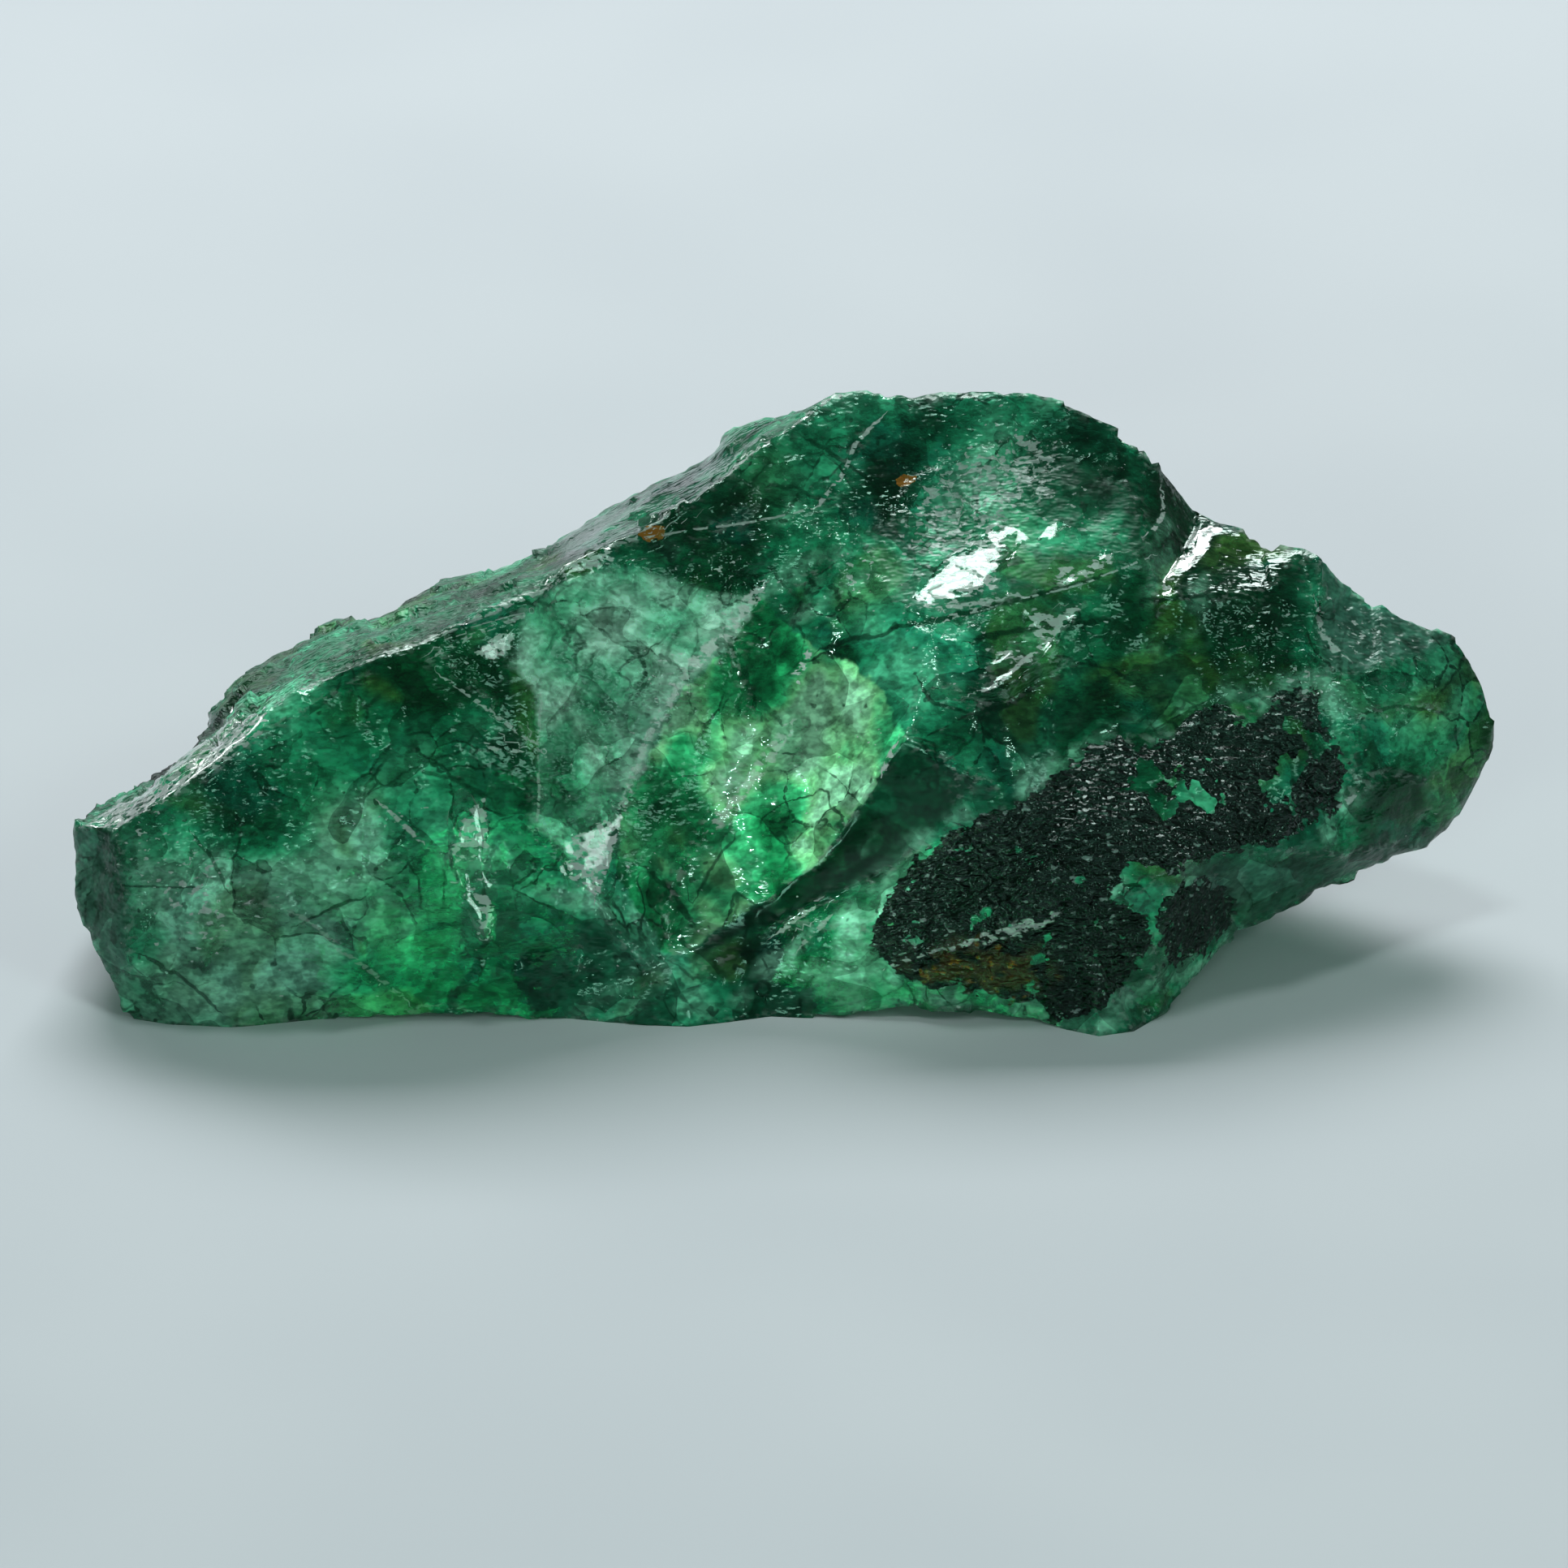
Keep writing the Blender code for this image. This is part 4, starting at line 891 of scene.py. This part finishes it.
def turned_to_fibres(points):
    """Space squeezed across the direction in which the crystal's fibres run, up to the right."""
    slope = math.radians(38.0)
    along = points[:, 0] * math.cos(slope) + points[:, 2] * math.sin(slope)
    across = points[:, 2] * math.cos(slope) - points[:, 0] * math.sin(slope)
    return np.stack([0.35 * along, points[:, 1], 1.3 * across], 1)


def crack_fields(points):
    """Two smooth values whose zero lines are cracks, in millimetres or nearly, and how well cracks show:
    one meanders like the border of noise hills, and one runs in wavy planes up to the right."""
    meander = 3.2 * layered(pushed(points, 4.0 * MM, 1.5 * MM, 25), 6.0 * MM, 3, 95)
    across = turned_to_fibres(pushed(points, 8.0 * MM, 2.0 * MM, 27))[:, 2] / MM
    spacing = 8.5
    planes = (across + 0.5 * spacing) % spacing - 0.5 * spacing
    return meander, planes, np.clip(0.34 + 1.4 * layered(points, 3.0 * MM, 3, 97), 0.0, 1.0)


def emerald_skin():
    """The whole stone as one closed fine mesh, with what its finish follows kept as point attributes."""
    corners, triangles = solid_of(NODE)
    fine, faces, ridge_sides = fine_net(corners, triangles, SPLITS)
    sides, _, _ = sides_of(faces)
    points = relaxed(fine, sides, ridge_sides)
    on_ridge = np.zeros(len(points))
    on_ridge[ridge_sides.reshape(-1)] = 1.0
    ridge_near = np.minimum(spread(on_ridge, sides, 2) * 1.6, 1.0)
    normals = point_normals(points, faces)
    masks = finish_masks(points, normals)
    on_floor = fine[:, 2] < FLOOR_TOUCH
    height = np.where(on_floor, 0.0, broken_skin(points, masks, ridge_near) + flat_chips(points, normals))
    placed = points + normals * height[:, None]
    placed[:, 2] = np.where(on_floor, 0.0, np.maximum(placed[:, 2], 0.0))

    masks["edge"] = ridge_near
    masks["matt"] = masks["satin_sheen"] + 0.6 * masks["cloudy"]
    masks["crown_or_groove"] = masks["crown"] - masks["groove"]
    masks["meander"], masks["planes"], masks["cracked"] = crack_fields(points)
    finish = {name: np.stack([masks[part] for part in parts], 1) for name, parts in KEPT_TOGETHER.items()}
    finish["beryl"] = beryl_colours(points, masks)
    finish["lit_beryl"] = window_glow_colours(points, masks)
    finish["wandering"] = wandering_space(points)

    skin = surface("emerald_skin", placed, faces)
    for name, value in finish.items():
        attribute = skin.data.attributes.new(name, "FLOAT_VECTOR", "POINT")
        attribute.data.foreach_set("vector", value.astype(np.float32).reshape(-1))
    skin.data.update()
    return skin


# ---------------------------------------------------------------- node building
def node(tree, kind, inputs=None, **settings):
    """One shader node with its settings; an input is given as a plain value or as what a node puts out."""
    made = tree.nodes.new("ShaderNode" + kind)
    for name, value in settings.items():
        setattr(made, name, value)
    for name, value in (inputs or {}).items():
        if isinstance(value, Value):
            tree.links.new(value.socket, made.inputs[name])
        else:
            made.inputs[name].default_value = value
    return made


def put(tree, kind, inputs=None, output=0, **settings):
    """What one new node puts out."""
    return Value(node(tree, kind, inputs, **settings).outputs[output])


class Value:
    """A number, vector or colour that a node puts out. Sums, products and so on add a Math node each."""

    def __init__(self, socket):
        self.socket = socket
        self.tree = socket.id_data

    def math(self, operation, a, b=0.0):
        """What one Math node makes of two numbers."""
        return put(self.tree, "Math", {0: a, 1: b}, operation=operation)

    def __add__(self, other):
        return self.math("ADD", self, other)

    def __sub__(self, other):
        return self.math("SUBTRACT", self, other)

    def __rsub__(self, number):
        return self.math("SUBTRACT", number, self)

    def __mul__(self, other):
        return self.math("MULTIPLY", self, other)

    def __abs__(self):
        return self.math("ABSOLUTE", self)

    def band(self, low, high, start=0.0, end=1.0):
        """A smooth step from `start` to `end` as the value goes from low to high."""
        inputs = {"Value": self, "From Min": low, "From Max": high, "To Min": start, "To Max": end}
        return put(self.tree, "MapRange", inputs, interpolation_type="SMOOTHSTEP")

    def line(self, core, fade, strength=1.0):
        """A line where the value crosses zero: full within `core` of zero and gone beyond `fade`."""
        return abs(self).band(core, fade, strength, 0.0)

    def parts(self, kind):
        """The three parts of a vector (XYZ) or a colour (Color)."""
        return [Value(socket) for socket in node(self.tree, "Separate" + kind, {0: self}).outputs]


def most(first, *others):
    """The greatest of the values."""
    for other in others:
        first = first.math("MAXIMUM", first, other)
    return first


def blend(share, below, above, mode="MIX"):
    """Two colours mixed by a share; each may be a value or three plain numbers."""
    tree = next(part.tree for part in (share, below, above) if isinstance(part, Value))
    below, above = (part if isinstance(part, Value) else (*part, 1.0) for part in (below, above))
    return put(tree, "Mix", {0: share, 6: below, 7: above}, 2, data_type="RGBA", blend_type=mode)


def three_noises(place, span):
    """Three unlike cloudy noises from 0 to 1, their hills about `span` metres across."""
    layers = {"Vector": place, "Scale": 1.0 / span, "Detail": 2.0}
    return put(place.tree, "TexNoise", layers, "Color").parts("Color")


def new_material(name):
    """An empty material: its tree, its Principled shader and its output."""
    material = bpy.data.materials.new(name)
    material.use_nodes = True
    tree = material.node_tree
    tree.nodes.clear()
    shader = node(tree, "BsdfPrincipled")
    output = node(tree, "OutputMaterial")
    tree.links.new(shader.outputs[0], output.inputs["Surface"])
    return material, tree, shader, output


# ---------------------------------------------------------------- finishes
def finish_sources(tree):
    """What the steps of the finish read, by name: the fields kept with the mesh, and fine noise that gives
    their borders a ragged edge."""
    at = SimpleNamespace()
    for name in ("beryl", "lit_beryl", "wandering", *KEPT_TOGETHER):
        vector = put(tree, "Attribute", output="Vector", attribute_name=name)
        if name in KEPT_TOGETHER:
            vars(at).update(zip(KEPT_TOGETHER[name], vector.parts("XYZ")))
        else:
            setattr(at, name, vector)
    at.crown = most(at.crown_or_groove, 0.0)
    at.groove = most(at.crown_or_groove * -1.0, 0.0)
    place = put(tree, "TexCoord", output="Object")
    at.drawn_out = put(tree, "Mapping", {"Vector": place, "Scale": (0.55, 1.0, 1.0)})
    at.crumbs = three_noises(place, CRUMB_SPAN)
    at.specks = three_noises(at.drawn_out, SPECK_SPAN)
    at.wobble = at.crumbs[1].band(0.3, 0.7, -0.22, 0.22)
    at.fine_wobble = at.specks[1].band(0.3, 0.7, -0.10, 0.10)
    return at


def broken_beryl(tree, at):
    """The stone's colour: clouds, and the window with its painted glow, in cells of unlike brightness; then
    dark cracks round the cells, along winding and straight planes and along the drawn lines, and a little
    pepper."""
    # The window takes its colour with the painted glow.
    colour = blend((at.window_depth + at.wobble).band(-0.15, 0.15), at.beryl, at.lit_beryl)
    cells = {"Vector": at.wandering, "Scale": 1.0 / CELL_SPAN}
    cell_tone = put(tree, "TexVoronoi", cells, "Color").parts("Color")[0]
    brightness = cell_tone.band(0.1, 0.9, 0.62, 1.50) * at.specks[0].band(0.3, 0.7, 0.68, 1.32)
    brightness = brightness * at.crumbs[1].band(0.46, 0.54, 0.78, 1.22)
    brightness = brightness * at.crumbs[2].band(0.40, 0.46, 0.72, 1.05)
    colour = blend(1.0, colour, brightness, "MULTIPLY")

    border = put(tree, "TexVoronoi", cells, "Distance", feature="DISTANCE_TO_EDGE")
    border = border + at.specks[1].band(0.3, 0.7, -0.025, 0.025)
    winding = (at.meander + at.wobble).line(0.04, 0.20)
    straight = (at.planes + at.wobble).line(0.05, 0.20, 0.8)
    drawn = (at.dark_line + at.wobble * 4.0).line(0.6, 1.6) * at.dark_strength
    crack = most(most(border.band(0.006, 0.032, 1.0, 0.0), winding, straight) * at.cracked, drawn)
    colour = blend(crack * 0.82, colour, CRACK_GREEN)
    return blend(at.crumbs[2].band(0.68, 0.72, 0.0, 0.7), colour, CRACK_GREEN)


def schist_share(at):
    """Where the black schist covers the beryl: inside its ragged border, apart from islands of beryl."""
    depth = at.schist_depth + at.crumbs[0].band(0.3, 0.7, -0.35, 0.35) + at.fine_wobble * 2.5
    island = at.inclusion + at.crumbs[1].band(0.35, 0.70, -0.45, 0.40) + at.fine_wobble
    return depth.band(-0.08, 0.08) * island.band(0.42, 0.50, 1.0, 0.0)


def schist_colour(at):
    """Black and dark grey schist with painted glints as small pale specks, stained brown and rusty in places.
    """
    colour = blend(at.specks[0].band(0.35, 0.75), SCHIST_BLACK, SCHIST_GREY)
    glint_flecks = at.specks[1].band(0.61, 0.66) * at.crumbs[2].band(0.47, 0.56, 0.10, 1.0)
    colour = blend(glint_flecks, colour, SCHIST_GLINT)
    colour = blend(at.brown * at.crumbs[2].band(0.40, 0.56), colour, SCHIST_BROWN)
    return blend(at.brown * at.crumbs[0].band(0.62, 0.66), colour, RUST)


def bruise_and_glint_lines(at):
    """Crushed chips and thin lines along the edges, white partly from their crushing and partly as painted
    highlight, broken up into pebbles.
    """
    line = (at.glint_line + at.fine_wobble * 4.0).line(0.7, 1.4) * at.glint_strength
    patch = (at.frost_depth + at.fine_wobble * 2.0).band(-0.06, 0.06)
    return most(line, patch) * at.specks[2].band(0.44, 0.49)


def frost_and_painted_glints(at):
    """Painted glints as white grains, many where the skin sparkles and a few along the ridges, fewer on the
    schist; over all, the crushed chips and edge lines with their painted highlights.
    """
    level = at.sparkle * -0.12 + SPARSE_GLINT_LEVEL
    glint_grit = (at.specks[2] - level).band(0.0, 0.03, 0.0, 0.9)
    ridge_glints = at.edge * at.specks[2].band(0.50, 0.62, 0.0, 0.30)
    return most(most(glint_grit, ridge_glints) * at.schist.band(0.0, 1.0, 1.0, 0.3), at.bruised)


def roughness(at):
    """Glossy beryl, duller on matt faces, the crown, the far slope and the schist, and glossiest on chips."""
    rough = at.matt * 0.22 + at.crumbs[2].band(0.35, 0.65, 0.08, 0.20)
    rough = rough + at.crown * (1.0 - at.wet) * 0.30 + at.back_slope * 0.35 + at.schist * 0.04
    return rough * (1.0 - at.wet * 0.7)


def pebbly_normal(tree, at):
    """A grain drawn out along the stone, deeper on the far slope and the schist, and calm where smooth."""
    layers = {"Vector": at.drawn_out, "Scale": 1.0 / GRAIN_SPAN, "Detail": 1.0, "Roughness": 0.6}
    grain = put(tree, "TexNoise", layers, "Fac")
    relief = (most(at.back_slope * 1.5, at.schist * 2.5) + 1.0) * GRAIN_RELIEF
    lively = most(at.schist, at.sparkle, at.back_slope, at.bruised)
    calm = most(at.wet * 0.7, at.groove * 0.9)
    strength = (lively * 0.60 + 0.30) * (1.0 - calm)
    return put(tree, "Bump", {"Height": grain, "Strength": strength, "Distance": relief})


def emerald_finish():
    """Cracked, cloudy green beryl with black schist grown on it, see-through and darkened by its depth."""
    material, tree, shader, output = new_material("emerald")
    at = finish_sources(tree)
    at.schist = schist_share(at)
    at.bruised = bruise_and_glint_lines(at)
    at.wet = (at.glossy_depth + at.wobble).band(-0.06, 0.06) * at.crumbs[0].band(0.37, 0.41)

    colour = blend(at.schist, broken_beryl(tree, at), schist_colour(at))
    colour = blend((at.brown + at.fine_wobble * 3.0).band(1.15, 1.35), colour, RUST)
    # Crushed chips turn white, and painted glints and highlights are laid on in white.
    colour = blend(frost_and_painted_glints(at) * 0.85, colour, FROST_AND_GLINT_WHITE)
    changing = (
        ("Base Color", colour), ("Roughness", roughness(at)), ("Normal", pebbly_normal(tree, at)),
        ("Coat Weight", at.wet),
    )
    for name, value in changing:
        tree.links.new(value.socket, shader.inputs[name])
    shader.inputs["Coat Roughness"].default_value = COAT_ROUGHNESS
    shader.inputs["IOR"].default_value = BERYL_IOR
    shader.inputs["Transmission Weight"].default_value = SEE_THROUGH
    shader.inputs["Specular Tint"].default_value = (*GLOSS_TINT, 1.0)
    depth = node(tree, "VolumeAbsorption", {"Color": (*DEPTH_TINT, 1.0), "Density": DEPTH_DENSITY})
    tree.links.new(depth.outputs[0], output.inputs["Volume"])
    return material


def paper_finish():
    """Matt pale blue-grey paper, faintly mottled."""
    material, tree, shader, _ = new_material("pale_paper")
    place = put(tree, "TexCoord", output="Object")
    mottle = put(tree, "TexNoise", {"Vector": place, "Scale": 1.0 / MOTTLE_SPAN, "Detail": 1.0}, "Fac")
    colour = blend(mottle.band(0.3, 0.7), PAPER_DARK, PAPER_PALE)
    tree.links.new(colour.socket, shader.inputs["Base Color"])
    shader.inputs["Roughness"].default_value = 0.85
    shader.inputs["Specular IOR Level"].default_value = 0.25
    return material


# ---------------------------------------------------------------- stage, lights and camera
def paper_sweep():
    """Paper that lies flat under the stone and curves up far behind it: P(s, t), where s runs across and t
    runs back, flat until the bend, then a quarter circle, then straight up."""
    width, front, bend_start, bend_radius, wall = 3.0, -1.2, 1.3, 0.6, 1.2
    angle = np.linspace(0.0, math.pi / 2, 17)
    back = np.concatenate([[front], bend_start + bend_radius * np.sin(angle), [bend_start + bend_radius]])
    up = np.concatenate([[0.0], bend_radius * (1.0 - np.cos(angle)), [bend_radius + wall]])
    across = np.linspace(-0.5 * width, 0.5 * width, 13)
    grid = np.stack(np.broadcast_arrays(across[None, :], back[:, None], up[:, None]), -1).reshape(-1, 3)
    index = np.arange(len(back) * len(across)).reshape(len(back), len(across))
    quads = np.stack([index[:-1, :-1], index[:-1, 1:], index[1:, 1:], index[1:, :-1]], -1).reshape(-1, 4)
    return surface("paper_sweep", grid, quads)


def lamp(name, kind, place, target, watts):
    """A light of one kind that looks at a target."""
    light = bpy.data.lights.new(name, kind)
    light.energy = watts
    holder = bpy.data.objects.new(name, light)
    holder.location = place
    holder.rotation_euler = (Vector(place) - Vector(target)).to_track_quat("Z", "Y").to_euler()
    bpy.context.scene.collection.objects.link(holder)
    return light


def softbox(name, place, width, depth, watts, colour):
    """A rectangular light that looks at the foot of the stone's middle."""
    light = lamp(name, "AREA", place, (0.0, 0.0, 0.01), watts)
    light.shape = "RECTANGLE"
    light.size = width
    light.size_y = depth
    light.color = colour


def spot(name, place, target, cone, watts):
    """A small round light with a soft edge; cone is the angle of its whole beam."""
    light = lamp(name, "SPOT", place, target, watts)
    light.spot_size = cone
    light.spot_blend = 1.0
    light.shadow_soft_size = SPOT_RADIUS


def studio():
    """A small box overhead for the glints, a wide one behind, small ones left, in front and right, a narrow
    beam on the window, and a dim pale room."""
    softbox("overhead_box", (-0.02, 0.07, 0.62), 0.13, 0.095, 0.64, (0.90, 1.0, 0.98))
    softbox("back_box", (-0.03, 0.67, 0.65), 0.55, 0.32, 9.8, (1.0, 0.97, 1.0))
    softbox("chamfer_box", (-0.47, 0.62, 0.34), 0.16, 0.16, 0.6, (1.0, 1.0, 1.0))
    softbox("front_box", (-0.17, -0.72, 0.30), 0.16, 0.16, 0.7, (0.72, 1.0, 0.90))
    softbox("right_box", (0.51, -0.43, 0.51), 0.20, 0.20, 0.8, (0.78, 1.0, 0.92))
    spot("window_spot", (-0.07, -0.28, 0.54), (0.0005, -0.0095, 0.0160), math.radians(2.8), 8.5)
    room = bpy.data.worlds.new("pale_room")
    room.use_nodes = True
    background = room.node_tree.nodes["Background"]
    background.inputs["Color"].default_value = (*ROOM_LIGHT, 1.0)
    background.inputs["Strength"].default_value = 0.17
    bpy.context.scene.world = room


def camera():
    """A long lens on the board's axis, which takes in the frame's width at the board."""
    lens = bpy.data.cameras.new("camera")
    lens.sensor_width = SENSOR_WIDTH
    lens.lens = SENSOR_WIDTH * LENS_DISTANCE / FRAME_WIDTH
    lens.clip_start = 0.01
    lens.clip_end = 20.0
    eye = bpy.data.objects.new("camera", lens)
    out = Vector((0.0, -math.cos(BOARD_LEAN), math.sin(BOARD_LEAN)))
    eye.location = Vector((*BOARD_MIDDLE, BOARD_HEIGHT)) + LENS_DISTANCE * out
    eye.rotation_euler = out.to_track_quat("Z", "Y").to_euler()
    bpy.context.scene.collection.objects.link(eye)
    bpy.context.scene.camera = eye


# ---------------------------------------------------------------- putting it together
stone_skin = emerald_skin()
stone_skin.data.materials.append(emerald_finish())
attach(stone_skin, "root")
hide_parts(NODE)

paper = paper_sweep()
paper.data.materials.append(paper_finish())
studio()
camera()
bpy.context.scene.view_settings.view_transform = "Standard"
cycles = bpy.context.scene.cycles
cycles.max_bounces = 4
cycles.diffuse_bounces = 2
cycles.glossy_bounces = 2
cycles.transmission_bounces = 4
